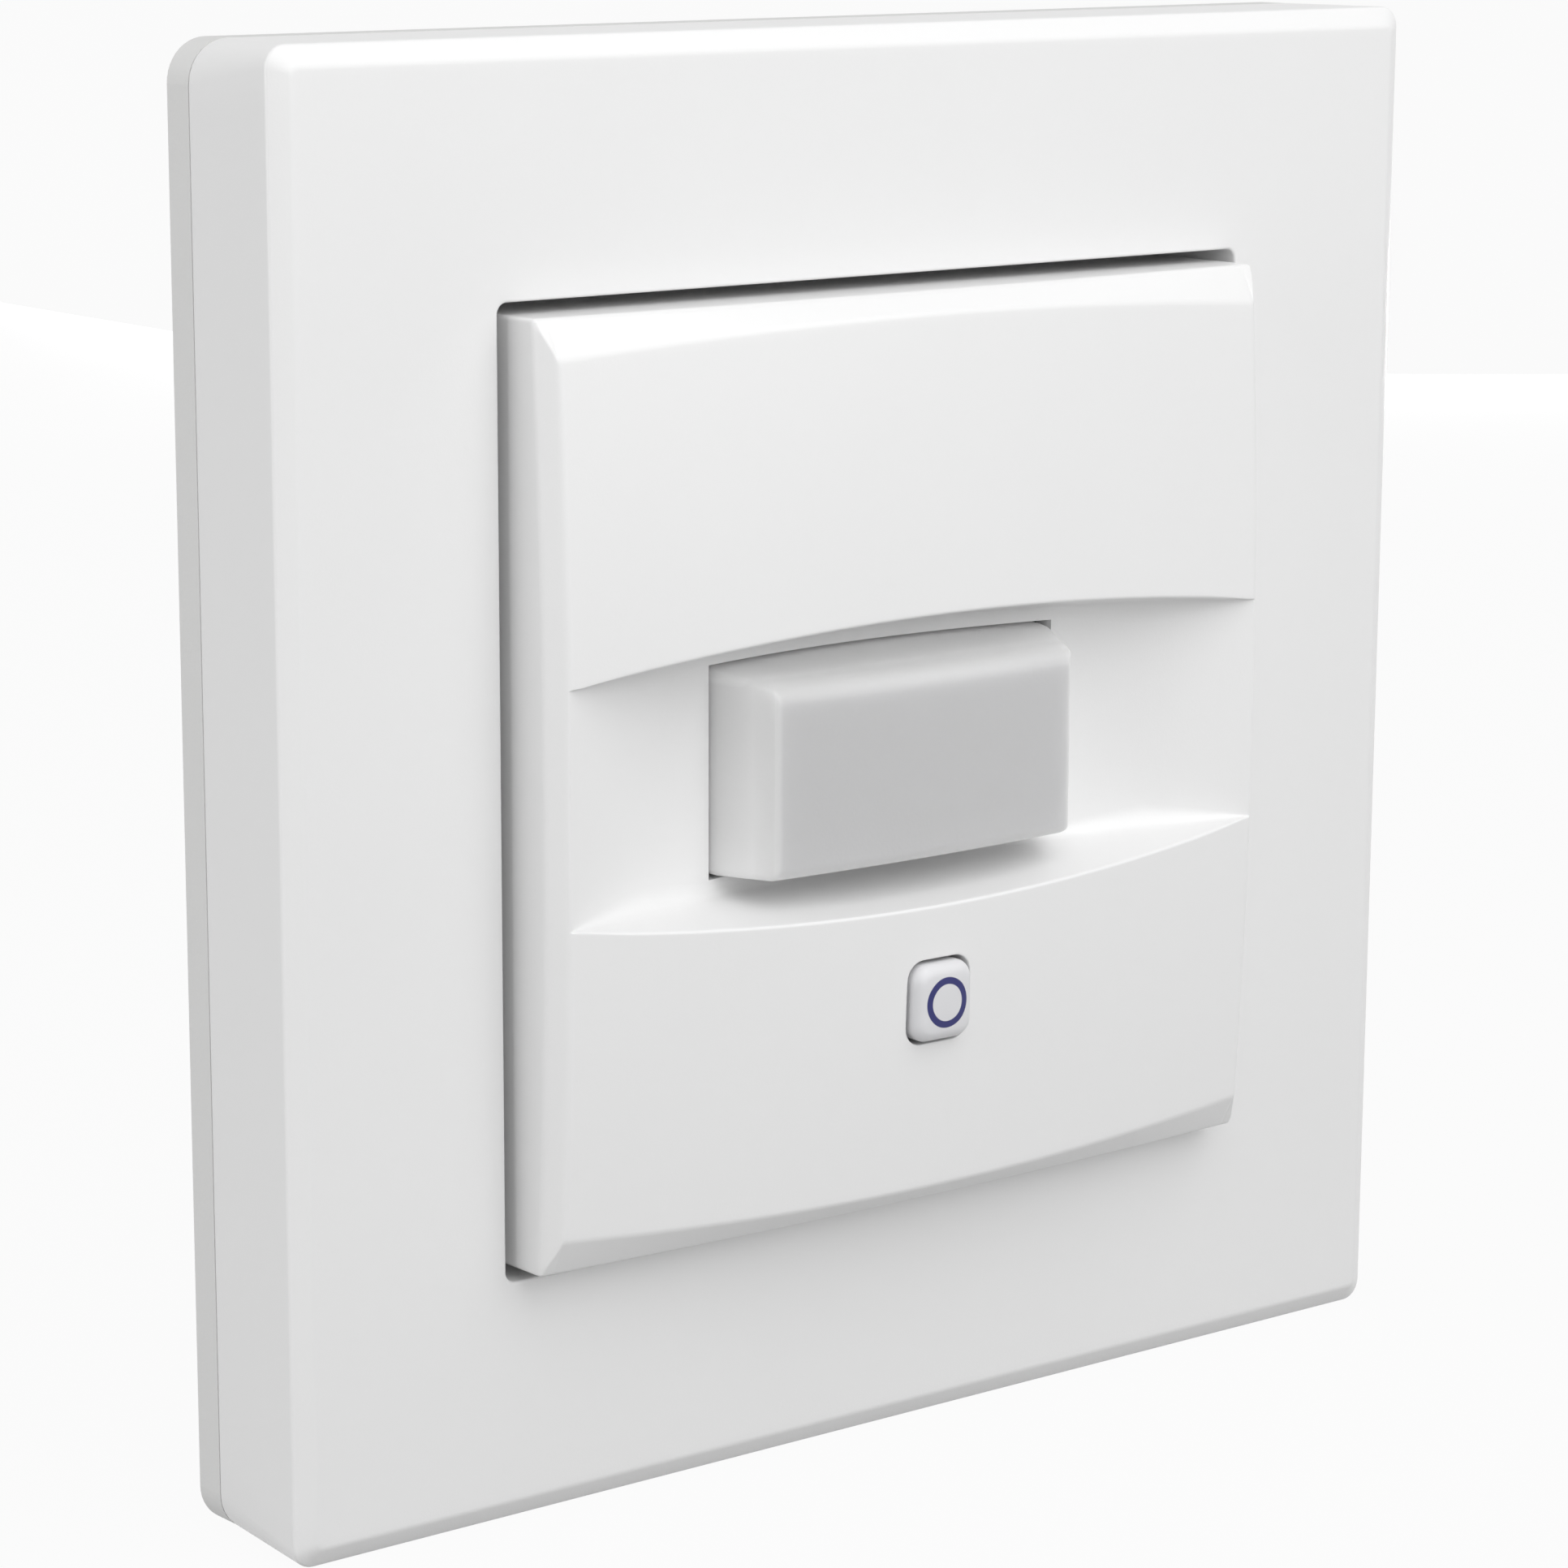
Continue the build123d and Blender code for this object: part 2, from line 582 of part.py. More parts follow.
# Batteries, the lower one the other way round
for side, name in ((1, "battery_upper"), (-1, "battery_lower")):
    middle = side * cell_at_z
    with BuildPart() as battery:
        with BuildSketch(Plane.XY.offset(middle)):
            with BuildLine():
                Polyline(
                    (-side * cell_end, -cell_out),
                    (-side * cell_end, CELL_R - cell_out),
                    (side * (cell_end - CELL_NUB), CELL_R - cell_out),
                    (side * (cell_end - CELL_NUB), CELL_NUB_R - cell_out),
                    (side * cell_end, CELL_NUB_R - cell_out),
                    (side * cell_end, -cell_out),
                    close=True,
                )
            make_face()
        revolve(axis=Axis((0, -cell_out, middle), (1, 0, 0)), revolution_arc=360)
    battery.part.label = name
    export_step(battery.part, f"parts/{name}.step")


def leaf_contact(side, middle):
    """Corners of a sprung contact strip in plan, from the bay's end wall in to the cell's end."""
    back, front, tip = contact_slot_x, contact_slot_x - CONTACT_STRIP, cell_end
    under = tip + CONTACT_STRIP
    lean = CONTACT_STRIP / 2
    half = [(front, CONTACT_HALF_Z), (front, CONTACT_FOOT_Z), (tip, CONTACT_TIP_Z)]
    rear = [(under, CONTACT_TIP_Z - lean), (back, CONTACT_FOOT_Z - lean), (back, CONTACT_HALF_Z)]
    outline = half + [(x, -z) for x, z in half[::-1]] + [(x, -z) for x, z in rear[::-1]] + rear
    return [(side * x, middle + z) for x, z in outline]


# Contacts at the cells' plus and minus ends, cut from spring strip
for sign, name in ((1, "plus_contacts"), (-1, "minus_contacts")):
    with BuildPart() as contacts:
        for side in (1, -1):
            with BuildSketch(Plane.XZ.offset(cell_out - CONTACT_WIDE / 2)):
                Polygon(*leaf_contact(side * sign, side * cell_at_z), align=None)
            extrude(amount=CONTACT_WIDE)
    contacts.part.label = name
    export_step(contacts.part, f"parts/{name}.step")

# Main circuit board in front of the batteries, open in the middle for the scoop
with BuildPart() as main_board:
    with BuildSketch(Plane.XZ.offset(chassis_front)):
        RectangleRounded(2 * main_board_half, 2 * main_board_half, CHASSIS_CORNER)
        Rectangle(2 * board_eye_x, 2 * board_eye_z, mode=Mode.SUBTRACT)
        with GridLocations(2 * board_screw_x, 2 * BOARD_SCREW_Z, 2, 2):
            RegularPolygon(BOARD_SCREW_R + SCREW_PLAY, SCREW_SIDES, mode=Mode.SUBTRACT)
        with Locations((pin_x, 0)):
            with GridLocations(0, PIN_STEP, 1, PIN_COUNT):
                RegularPolygon(PIN_HOLE_R, PIN_HOLE_SIDES, mode=Mode.SUBTRACT)
    extrude(amount=MAIN_BOARD)
main_board.part.label = "main_board"
export_step(main_board.part, "parts/main_board.step")

# Screws that hold the main board on the chassis
with BuildPart() as board_screws:
    with BuildSketch(Plane.XZ.offset(main_board_front)):
        with GridLocations(2 * board_screw_x, 2 * BOARD_SCREW_Z, 2, 2):
            RegularPolygon(BOARD_SCREW_HEAD_R, SCREW_SIDES)
    extrude(amount=BOARD_SCREW_HEAD)
    with BuildSketch(Plane.XZ.offset(main_board_front)):
        with GridLocations(2 * board_screw_x, 2 * BOARD_SCREW_Z, 2, 2):
            RegularPolygon(BOARD_SCREW_R - SHAFT_CLEARANCE, SCREW_SIDES)
    extrude(amount=-(MAIN_BOARD + BOARD_SCREW_DEEP - BOARD_SCREW_R))
board_screws.part.label = "board_screws"
export_step(board_screws.part, "parts/board_screws.step")

# Sensor board at the bottom of the well, under the lens
with BuildPart() as sensor_board:
    with BuildSketch(Plane.XZ.offset(sensor_board_back)):
        Rectangle(2 * sensor_board_x, 2 * sensor_board_z)
        with PolarLocations(LEADS_AT_R, LEAD_COUNT):
            RegularPolygon(LEAD_HOLE_R, PIN_HOLE_SIDES, mode=Mode.SUBTRACT)
        with Locations((pin_x, 0)):
            with GridLocations(0, PIN_STEP, 1, PIN_COUNT):
                RegularPolygon(PIN_HOLE_R, PIN_HOLE_SIDES, mode=Mode.SUBTRACT)
    extrude(amount=SENSOR_BOARD)
sensor_board.part.label = "sensor_board"
export_step(sensor_board.part, "parts/sensor_board.step")

# Pin header that links the two boards
with BuildPart() as board_link:
    with BuildSketch(Plane.XZ.offset(sensor_board_front)):
        with Locations((sensor_board_x - HEADER_WIDE / 2, 0)):
            Rectangle(HEADER_WIDE, PIN_COUNT * PIN_STEP)
    extrude(amount=HEADER_HIGH)
    with BuildSketch(Plane.XZ.offset(sensor_board_back)):
        with Locations((pin_x, 0)):
            with GridLocations(0, PIN_STEP, 1, PIN_COUNT):
                Rectangle(PIN_SIDE, PIN_SIDE)
    extrude(amount=main_board_front + PIN_SIDE / 2 - sensor_board_back)
board_link.part.label = "board_link"
export_step(board_link.part, "parts/board_link.step")

# Pyroelectric sensor: a metal can on a spacer, with three leads through the board
with BuildPart() as sensor_spacer:
    with BuildSketch(Plane.XZ.offset(sensor_board_front)):
        Circle(SPACER_R)
        with PolarLocations(LEADS_AT_R, LEAD_COUNT):
            RegularPolygon(LEAD_HOLE_R, PIN_HOLE_SIDES, mode=Mode.SUBTRACT)
    extrude(amount=SPACER_HIGH)
sensor_spacer.part.label = "sensor_spacer"
export_step(sensor_spacer.part, "parts/sensor_spacer.step")

can_back = sensor_board_front + SPACER_HIGH
can_out = can_back + CAN_HIGH
with BuildPart() as pyro_sensor:
    with BuildSketch(Plane.XZ.offset(can_back)):
        Circle(CAN_R)
    extrude(amount=CAN_HIGH)
    chamfer(pyro_sensor.faces().sort_by(Axis.Y)[0].edges(), CAN_EDGE)
    with BuildSketch(Plane.XZ.offset(can_back)):
        Circle(CAN_FLANGE_R)
    extrude(amount=CAN_FLANGE)
    with BuildSketch(Plane.XZ.offset(can_out - WINDOW_DEEP)):
        Rectangle(WINDOW_WIDE, WINDOW_HIGH)
    extrude(amount=WINDOW_DEEP, mode=Mode.SUBTRACT)
    with BuildSketch(Plane.XZ.offset(can_back)):
        with PolarLocations(LEADS_AT_R, LEAD_COUNT):
            Rectangle(LEAD_SIDE, LEAD_SIDE)
    extrude(amount=-(SPACER_HIGH + SENSOR_BOARD))
pyro_sensor.part.label = "pyro_sensor"
export_step(pyro_sensor.part, "parts/pyro_sensor.step")

with BuildPart() as pyro_window:
    with BuildSketch(Plane.XZ.offset(can_out - WINDOW_DEEP)):
        Rectangle(WINDOW_WIDE - 2 * WINDOW_GAP, WINDOW_HIGH - 2 * WINDOW_GAP)
    extrude(amount=WINDOW_DEEP - WINDOW_GAP)
pyro_window.part.label = "pyro_window"
export_step(pyro_window.part, "parts/pyro_window.step")

# Lens holder: a rectangular tube from the sensor board up to the lens's flange
with BuildPart() as lens_holder:
    with BuildSketch(Plane.XZ.offset(sensor_board_front)):
        RectangleRounded(2 * flange_half_x, 2 * flange_half_z, HOLDER_CORNER)
        Rectangle(2 * (flange_half_x - HOLDER_WALL), 2 * (flange_half_z - HOLDER_WALL), mode=Mode.SUBTRACT)
    extrude(amount=holder_top_out - sensor_board_front)
lens_holder.part.label = "lens_holder"
export_step(lens_holder.part, "parts/lens_holder.step")


def lens_profile(inset):
    """Outline of the lens in plan, drawn in by inset, from its foot to its bowed front."""
    front = LENS_FRONT_BELOW - crown_out + inset
    shoulder = LENS_SHOULDER_BELOW - crown_out
    wide = LENS_HALF_X - inset
    narrow = wide - LENS_NARROWS
    ThreePointArc((-narrow, front), (0, front - LENS_BOW), (narrow, front))
    Polyline((narrow, front), (wide, shoulder), (wide, -holder_top_out), (-wide, -holder_top_out),
             (-wide, shoulder), (-narrow, front))


# Lens: a translucent hood with sloping ends and a bowed front, standing through the rocker plate
with BuildPart() as lens:
    with BuildSketch(Plane.XY):
        with BuildLine():
            lens_profile(0)
        make_face()
    extrude(amount=LENS_HALF_Z, both=True)
    front_edges = lens.faces().filter_by(Plane.XY).edges().group_by(Axis.Y)[0]
    fillet(front_edges.sort_by(Axis.Z)[-1], LENS_TOP_EDGE)
    front_edges = lens.faces().filter_by(Plane.XY).edges().group_by(Axis.Y)[0]
    fillet(front_edges.sort_by(Axis.Z)[0], LENS_BOTTOM_EDGE)
    with BuildSketch(Plane.XZ.offset(holder_top_out)):
        RectangleRounded(2 * flange_half_x, 2 * flange_half_z, HOLDER_CORNER)
    extrude(amount=LENS_FLANGE_THICK)
    with BuildSketch(Plane.XY):
        with BuildLine():
            lens_profile(LENS_WALL)
        make_face()
    extrude(amount=LENS_HALF_Z - LENS_WALL, both=True, mode=Mode.SUBTRACT)
lens.part.label = "lens"
export_step(lens.part, "parts/lens.step")

# Switches on the main board, one behind each end of the rocker plate, and their sprung stems
for side, name in ((1, "upper"), (-1, "lower")):
    with BuildPart() as switch_body:
        with BuildSketch(Plane.XZ.offset(main_board_front)):
            with Locations((0, side * SWITCH_Z)):
                Rectangle(SWITCH_SIDE, SWITCH_SIDE)
                Circle(STEM_R + STEM_CLEARANCE, mode=Mode.SUBTRACT)
        extrude(amount=SWITCH_HIGH)
    switch_body.part.label = f"{name}_switch"
    export_step(switch_body.part, f"parts/{name}_switch.step")

    with BuildPart() as switch_stem:
        with BuildSketch(Plane.XZ.offset(main_board_front + STEM_FOOT)):
            with Locations((0, side * SWITCH_Z)):
                Circle(STEM_R)
        extrude(amount=SWITCH_HIGH + STEM_PROUD - STEM_FOOT)
        chamfer(switch_stem.faces().sort_by(Axis.Y)[0].edges(), STEM_EDGE)
    switch_stem.part.label = f"{name}_stem"
    export_step(switch_stem.part, f"parts/{name}_stem.step")

# Switch behind the push-button, with its stem, and the status light beside it
with BuildPart() as button_switch:
    with BuildSketch(Plane.XZ.offset(main_board_front)):
        with Locations((0, BUTTON_Z)):
            Rectangle(BUTTON_SWITCH_SIDE, BUTTON_SWITCH_SIDE)
            Circle(BUTTON_STEM_R + STEM_CLEARANCE, mode=Mode.SUBTRACT)
    extrude(amount=BUTTON_SWITCH_HIGH)
button_switch.part.label = "button_switch"
export_step(button_switch.part, "parts/button_switch.step")

with BuildPart() as button_stem:
    with BuildSketch(Plane.XZ.offset(main_board_front + BUTTON_STEM_FOOT)):
        with Locations((0, BUTTON_Z)):
            Circle(BUTTON_STEM_R)
    extrude(amount=BUTTON_SWITCH_HIGH + BUTTON_STEM_PROUD - BUTTON_STEM_FOOT)
button_stem.part.label = "button_stem"
export_step(button_stem.part, "parts/button_stem.step")

with BuildPart() as status_light:
    with BuildSketch(Plane.XZ.offset(main_board_front)):
        with Locations((STATUS_LIGHT_X, BUTTON_Z)):
            Rectangle(STATUS_LIGHT_WIDE, STATUS_LIGHT_LONG)
    extrude(amount=STATUS_LIGHT_HIGH)
status_light.part.label = "status_light"
export_step(status_light.part, "parts/status_light.step")

# Controller on the main board
with BuildPart() as controller_chip:
    with BuildSketch(Plane.XZ.offset(main_board_front)):
        with Locations((CHIP_X, CHIP_Z)):
            Rectangle(CHIP_SIDE, CHIP_SIDE)
    extrude(amount=CHIP_HIGH)
controller_chip.part.label = "controller_chip"
export_step(controller_chip.part, "parts/controller_chip.step")

# Radio module left of the lens holder, with its shield and a strip aerial along its outer side
radio_inner = flange_half_x + RADIO_GAP
radio_outer = sensor_board_x - RADIO_GAP
radio_front = sensor_board_front + RADIO_BOARD
with BuildPart() as radio_board:
    with BuildSketch(Plane.XZ.offset(sensor_board_front)):
        with Locations((-(radio_inner + radio_outer) / 2, 0)):
            Rectangle(radio_outer - radio_inner, RADIO_HIGH)
    extrude(amount=RADIO_BOARD)
radio_board.part.label = "radio_board"
export_step(radio_board.part, "parts/radio_board.step")

shield_inner = radio_inner + SHIELD_MARGIN_X
shield_outer = radio_outer - AERIAL_ROOM - SHIELD_MARGIN_X
shield_wide = shield_outer - shield_inner
shield_high = RADIO_HIGH - 2 * SHIELD_MARGIN_Z
with BuildPart() as radio_shield:
    with BuildSketch(Plane.XZ.offset(radio_front)):
        with Locations((-(shield_inner + shield_outer) / 2, 0)):
            Rectangle(shield_wide, shield_high)
    extrude(amount=SHIELD_HIGH)
    with BuildSketch(Plane.XZ.offset(radio_front)):
        with Locations((-(shield_inner + shield_outer) / 2, 0)):
            Rectangle(shield_wide - 2 * SHIELD_SHEET, shield_high - 2 * SHIELD_SHEET)
    extrude(amount=SHIELD_HIGH - SHIELD_SHEET, mode=Mode.SUBTRACT)
radio_shield.part.label = "radio_shield"
export_step(radio_shield.part, "parts/radio_shield.step")

aerial_half = RADIO_HIGH / 2 - SHIELD_MARGIN_Z
with BuildPart() as aerial:
    with BuildSketch(Plane.YZ.offset(-(radio_outer - AERIAL_ROOM / 2 + AERIAL_WIDE / 2))):
        with BuildLine():
            Polyline(
                (-radio_front, aerial_half),
                (-radio_front - AERIAL_HIGH, aerial_half),
                (-radio_front - AERIAL_HIGH, -aerial_half),
                (-radio_front - AERIAL_HIGH + AERIAL_STRIP, -aerial_half),
                (-radio_front - AERIAL_HIGH + AERIAL_STRIP, aerial_half - AERIAL_STRIP),
                (-radio_front, aerial_half - AERIAL_STRIP),
                close=True,
            )
        make_face()
    extrude(amount=AERIAL_WIDE)
aerial.part.label = "aerial"
export_step(aerial.part, "parts/aerial.step")

# Buffer capacitor right of the lens holder and the light sensor under the lens
capacitor_x = flange_half_x + CAPACITOR_GAP + CAPACITOR_R
capacitor_z = -(sensor_board_z - CAPACITOR_GAP - CAPACITOR_R)
with BuildPart() as buffer_capacitor:
    with BuildSketch(Plane.XZ.offset(sensor_board_front)):
        with Locations((capacitor_x, capacitor_z)):
            Circle(CAPACITOR_R)
    extrude(amount=CAPACITOR_HIGH)
    chamfer(buffer_capacitor.faces().sort_by(Axis.Y)[0].edges(), CAPACITOR_EDGE)
buffer_capacitor.part.label = "buffer_capacitor"
export_step(buffer_capacitor.part, "parts/buffer_capacitor.step")

with BuildPart() as light_sensor:
    with BuildSketch(Plane.XZ.offset(sensor_board_front)):
        with Locations((LIGHT_SENSOR_X, 0)):
            Rectangle(LIGHT_SENSOR_SIDE, LIGHT_SENSOR_SIDE)
    extrude(amount=LIGHT_SENSOR_HIGH)
light_sensor.part.label = "light_sensor"
export_step(light_sensor.part, "parts/light_sensor.step")
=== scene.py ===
"""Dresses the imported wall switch: moulded covers, lens, button, cells, finishes and the photograph's stage.

Shapes are worked out in millimetres as x to the right, z up and out, the distance from the wall, and
to_world turns them into the frame's metres."""

import math

import bmesh
import bpy
import numpy as np
from mathutils import Matrix, Vector


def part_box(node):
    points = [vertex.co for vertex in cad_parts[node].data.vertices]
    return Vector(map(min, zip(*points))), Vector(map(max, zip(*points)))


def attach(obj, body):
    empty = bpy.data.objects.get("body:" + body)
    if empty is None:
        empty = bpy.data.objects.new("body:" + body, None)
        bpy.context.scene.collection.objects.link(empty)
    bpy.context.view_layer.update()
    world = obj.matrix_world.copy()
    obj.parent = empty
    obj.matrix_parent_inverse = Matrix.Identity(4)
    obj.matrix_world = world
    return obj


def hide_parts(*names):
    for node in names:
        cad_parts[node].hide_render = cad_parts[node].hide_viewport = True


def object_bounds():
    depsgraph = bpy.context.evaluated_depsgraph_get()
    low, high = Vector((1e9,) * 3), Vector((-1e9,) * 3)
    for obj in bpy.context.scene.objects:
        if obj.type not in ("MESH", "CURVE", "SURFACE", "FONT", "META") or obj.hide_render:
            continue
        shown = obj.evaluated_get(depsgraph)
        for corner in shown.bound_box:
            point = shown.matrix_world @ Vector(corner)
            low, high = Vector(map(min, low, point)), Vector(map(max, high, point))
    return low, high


bl_info = {
    "name": "Motion-sensing wall switch",
    "version": (1, 0, 0),
    "blender": (4, 5, 0),
    "location": "View3D > Sidebar > Wall switch",
    "description": "Builds the covers, lens, button, cells, finishes and stage of a wall switch",
    "category": "Add Mesh",
}

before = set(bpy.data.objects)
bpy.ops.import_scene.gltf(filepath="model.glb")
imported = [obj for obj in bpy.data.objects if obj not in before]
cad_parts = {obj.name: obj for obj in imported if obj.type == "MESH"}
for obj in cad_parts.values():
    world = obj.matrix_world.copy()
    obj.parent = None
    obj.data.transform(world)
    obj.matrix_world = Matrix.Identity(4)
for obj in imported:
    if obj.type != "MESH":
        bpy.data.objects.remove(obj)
cad_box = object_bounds()
MM = 0.001


def span(node):
    """A CAD node's lowest and highest x, z and out in millimetres, as a dictionary of pairs."""
    low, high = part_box(node)
    return {
        "x": (low[0] / MM, high[0] / MM),
        "z": (low[2] / MM, high[2] / MM),
        "out": (-high[1] / MM, -low[1] / MM),
    }


FRAME_SPAN = span("frame")
PLATE_SPAN = span("rocker_plate")
LENS_SPAN = span("lens")
BUTTON_SPAN = span("push_button")
CELL_SPAN = span("battery_upper")


# Points and meshes


def to_world(x, z, out):
    """Metres in the frame from x, z and out in millimetres: out runs against Y."""
    x, z, out = np.broadcast_arrays(x, z, out)
    return np.stack([x, -out, z], axis=-1).reshape(-1, 3) * MM


def grid_quads(index, closed=False):
    """Quads between neighbours of a grid of point numbers, the last column joined to the first if closed."""
    if closed:
        index = np.concatenate([index, index[:, :1]], axis=1)
    quads = np.stack([index[:-1, :-1], index[:-1, 1:], index[1:, 1:], index[1:, :-1]], axis=-1)
    return quads.reshape(-1, 4)


class Surface:
    """Collects points and quads from several grids and puts them into one mesh."""

    def __init__(self):
        self.points = []
        self.quads = []
        self.count = 0

    def add_points(self, x, z, out):
        """Adds points and gives their numbers in the shape of the arrays."""
        x, z, out = np.broadcast_arrays(x, z, out)
        self.points.append(to_world(x, z, out))
        numbers = self.count + np.arange(x.size).reshape(x.shape)
        self.count += x.size
        return numbers

    def add_quads(self, quads, flip=False):
        """Adds quads, turned over if flip."""
        self.quads.append(quads[:, ::-1] if flip else quads)

    def add_rings(self, x, z, out):
        """Adds a surface of closed rings, one per row."""
        self.add_quads(grid_quads(self.add_points(x, z, out), closed=True))

    def build(self, name, sharp=32.0):
        """Makes the object: points that meet are merged and edges sharper than sharp degrees stay hard."""
        mesh = bpy.data.meshes.new(name)
        mesh.from_pydata(np.concatenate(self.points).tolist(), [], np.concatenate(self.quads).tolist())
        work = bmesh.new()
        work.from_mesh(mesh)
        bmesh.ops.remove_doubles(work, verts=work.verts, dist=2e-6)
        bmesh.ops.dissolve_degenerate(work, edges=work.edges, dist=1e-7)
        bmesh.ops.recalc_face_normals(work, faces=work.faces)
        work.to_mesh(mesh)
        work.free()
        mesh.shade_smooth()
        mesh.set_sharp_from_angle(angle=math.radians(sharp))
        piece = bpy.data.objects.new(name, mesh)
        bpy.context.scene.collection.objects.link(piece)
        return piece


def soft_min(a, b, width):
    """The lesser of two heights, rounded by a parabola where they differ by less than width."""
    near = np.clip(width - np.abs(a - b), 0, None) / width
    return np.minimum(a, b) - near * near * width / 4


def bend(start, knot, end, count):
    """Points of the parabola that leaves start towards knot and comes from knot into end, one per row."""
    t = np.linspace(0, 1, count).reshape((-1,) + (1,) * np.ndim(start))
    return (1 - t) ** 2 * start + 2 * t * (1 - t) * knot + t * t * end


def rounded_square(half_x, half_z, radius, side=10, arc=8):
    """A rectangle with round corners as closed rings, one per row of the sizes.

    Each point stands off by the radius, in a direction that turns at the corners, from a centre that runs
    along the sides. A side is split evenly, or at the shares of its length that side lists. Gives x, z and
    the direction's part along z."""
    share = np.linspace(0, 1, side + 1)[1:-1] if np.ndim(side) == 0 else np.asarray(side)
    run = np.concatenate([np.ones(arc), 1 - 2 * share])
    way = np.concatenate([np.linspace(0, 1, arc), np.ones(share.size)])
    still = np.ones(run.size)
    angle = np.concatenate([way + quarter for quarter in range(4)]) * math.pi / 2
    centre_x = np.concatenate([run, -still, -run, still])
    centre_z = np.concatenate([still, run, -still, -run])
    sizes = np.broadcast_arrays(half_x, half_z, radius)
    half_x, half_z, radius = (np.atleast_1d(np.asarray(v, float))[:, None] for v in sizes)
    x = (half_x - radius) * centre_x + radius * np.cos(angle)
    z = (half_z - radius) * centre_z + radius * np.sin(angle)
    return x, z, np.sin(angle)


def turned(surface, along, radius, middle_z, middle_out, count=40):
    """Turns a profile, radius over x, about a level axis."""
    angle = np.linspace(0, 2 * math.pi, count, endpoint=False)
    along, radius = np.asarray(along, float)[:, None], np.asarray(radius, float)[:, None]
    surface.add_rings(along, radius * np.sin(angle) + middle_z, radius * np.cos(angle) + middle_out)


def close_ring(x, z, out):
    """Rows that shrink a ring to its middle, so that an end is closed by a fan of quads."""
    share = np.array([1.0, 0.5, 0.0])[:, None]
    return tuple(line.mean() + (line - line.mean()) * share for line in (x, z, out))


# Sizes and colours that a user would change


def length(name, text, default):
    """A size in millimetres."""
    return bpy.props.FloatProperty(name=name, description=text, default=default)


def colour(name, text, default):
    """A colour."""
    return bpy.props.FloatVectorProperty(name=name, description=text, subtype="COLOR", default=default)


def power(name, text, default):
    """A lamp's power."""
    return bpy.props.FloatProperty(name=name, description=text, unit="POWER", default=default)


class FrameSizes(bpy.types.PropertyGroup):
    """Sizes of the frame, in millimetres."""

    back: length("Back", "Distance of the rear edge from the wall", 2.15)
    corner: length("Corner radius", "Rounding of the corners at the wall", 2.5)
    front_corner: length("Front corner radius", "Rounding of the corners at the bevel", 1.3)
    bevel_wide: length("Bevel width", "Width of the front bevel", 1.2)
    bevel_deep: length("Bevel depth", "Depth of the front bevel", 0.75)
    border: length("Border", "Distance from the outside to the opening", 14.58)
    wall: length("Wall", "Thickness of the sides", 1.6)
    skin: length("Skin", "Thickness of the face", 1.8)
    collar: length("Collar", "Thickness of the collar round the opening", 1.4)
    lip: length("Lip", "How far the collar's foot reaches inwards to shut out light", 1.15)


class PlateSizes(bpy.types.PropertyGroup):
    """Sizes of the rocker plate's face, in millimetres."""

    dome_x: length("Dome across", "Radius of the dome from left to right", 310.0)
    dome_z: length("Dome upright", "Radius of the dome from top to bottom", 380.0)
    crown_out: length("Crown", "Distance of the dome's middle from the wall", 16.1)
    rim_out: length("Rim", "Distance of the rim's middle from the wall", 13.68)
    rim_drop: length("Rim drop", "How much lower the rim is at the corners", 0.88)
    side_bevel: length("Side bevel", "Width of the left and right bevels", 0.9)
    end_bevel: length("End bevel", "Width of the crescents in the middle", 1.155)
    end_more: length("Crescent", "How much wider the crescents are at the corners", 1.17)
    scoop_half: length("Scoop half length", "Half the length of the scoop", 27.0)
    scoop_end: length("Scoop end", "Distance of the scoop's ends from the wall", 14.93)
    scoop_deep: length("Scoop depth", "How much lower the floor is in the middle", 5.84)
    floor_half: length("Floor half width", "Half the floor's width", 7.44)
    floor_narrows: length("Floor narrows", "How much the floor narrows", 0.54)
    top_half: length("Mouth half width", "Half the width of the mouth above the dome", 9.215)
    top_narrows: length("Mouth narrows", "How much the mouth narrows", 1.695)
    eye_x: length("Opening half length", "Half the lens opening's length", 13.45)
    eye_z: length("Opening half width", "Half the lens opening's width", 6.43)
    edge: length("Edge radius", "Rounding of the plate's edges", 0.25)
    scoop_edge: length("Scoop edge radius", "Rounding of the scoop's rim", 0.2)
    foot_edge: length("Foot radius", "Rounding between floor and walls", 0.7)
    skin: length("Skin", "Thickness of the moulding", 1.4)
    hole_x: length("Hole half width", "Half the width of the button's hole", 2.45)
    hole_z: length("Hole half height", "Half the height of the button's hole", 2.62)
    hole_corner: length("Hole corner radius", "Rounding of the button's hole", 1.2)


class LensSizes(bpy.types.PropertyGroup):
    """Sizes of the lens, in millimetres."""

    half_x: length("Half length", "Half the length at the foot", 13.35)
    half_z: length("Half height", "Half the height", 6.275)
    lift: length("Lift", "How much higher than the plate's middle it lies", 0.075)
    top_slope: length("Top slope", "How much lower the top is at the front", 0.9)
    narrows: length("End slope", "How far the sloping ends come in", 1.85)
    shoulder: length("Shoulder", "Distance from the wall where the ends start to slope", 10.6)
    front: length("Front", "Distance of the front's ends from the wall", 14.6)
    bow: length("Bow", "How far the front bows out", 0.5)
    top_edge: length("Top edge", "Rounding of the top front edge", 1.3)
    bottom_edge: length("Bottom edge", "Rounding of the bottom front edge", 0.9)
    end_edge: length("End edge", "Rounding of the upright front edges", 0.25)
    wall: length("Wall", "Thickness of the wall", 1.8)
    flange: length("Flange", "Thickness of the flange", 0.8)


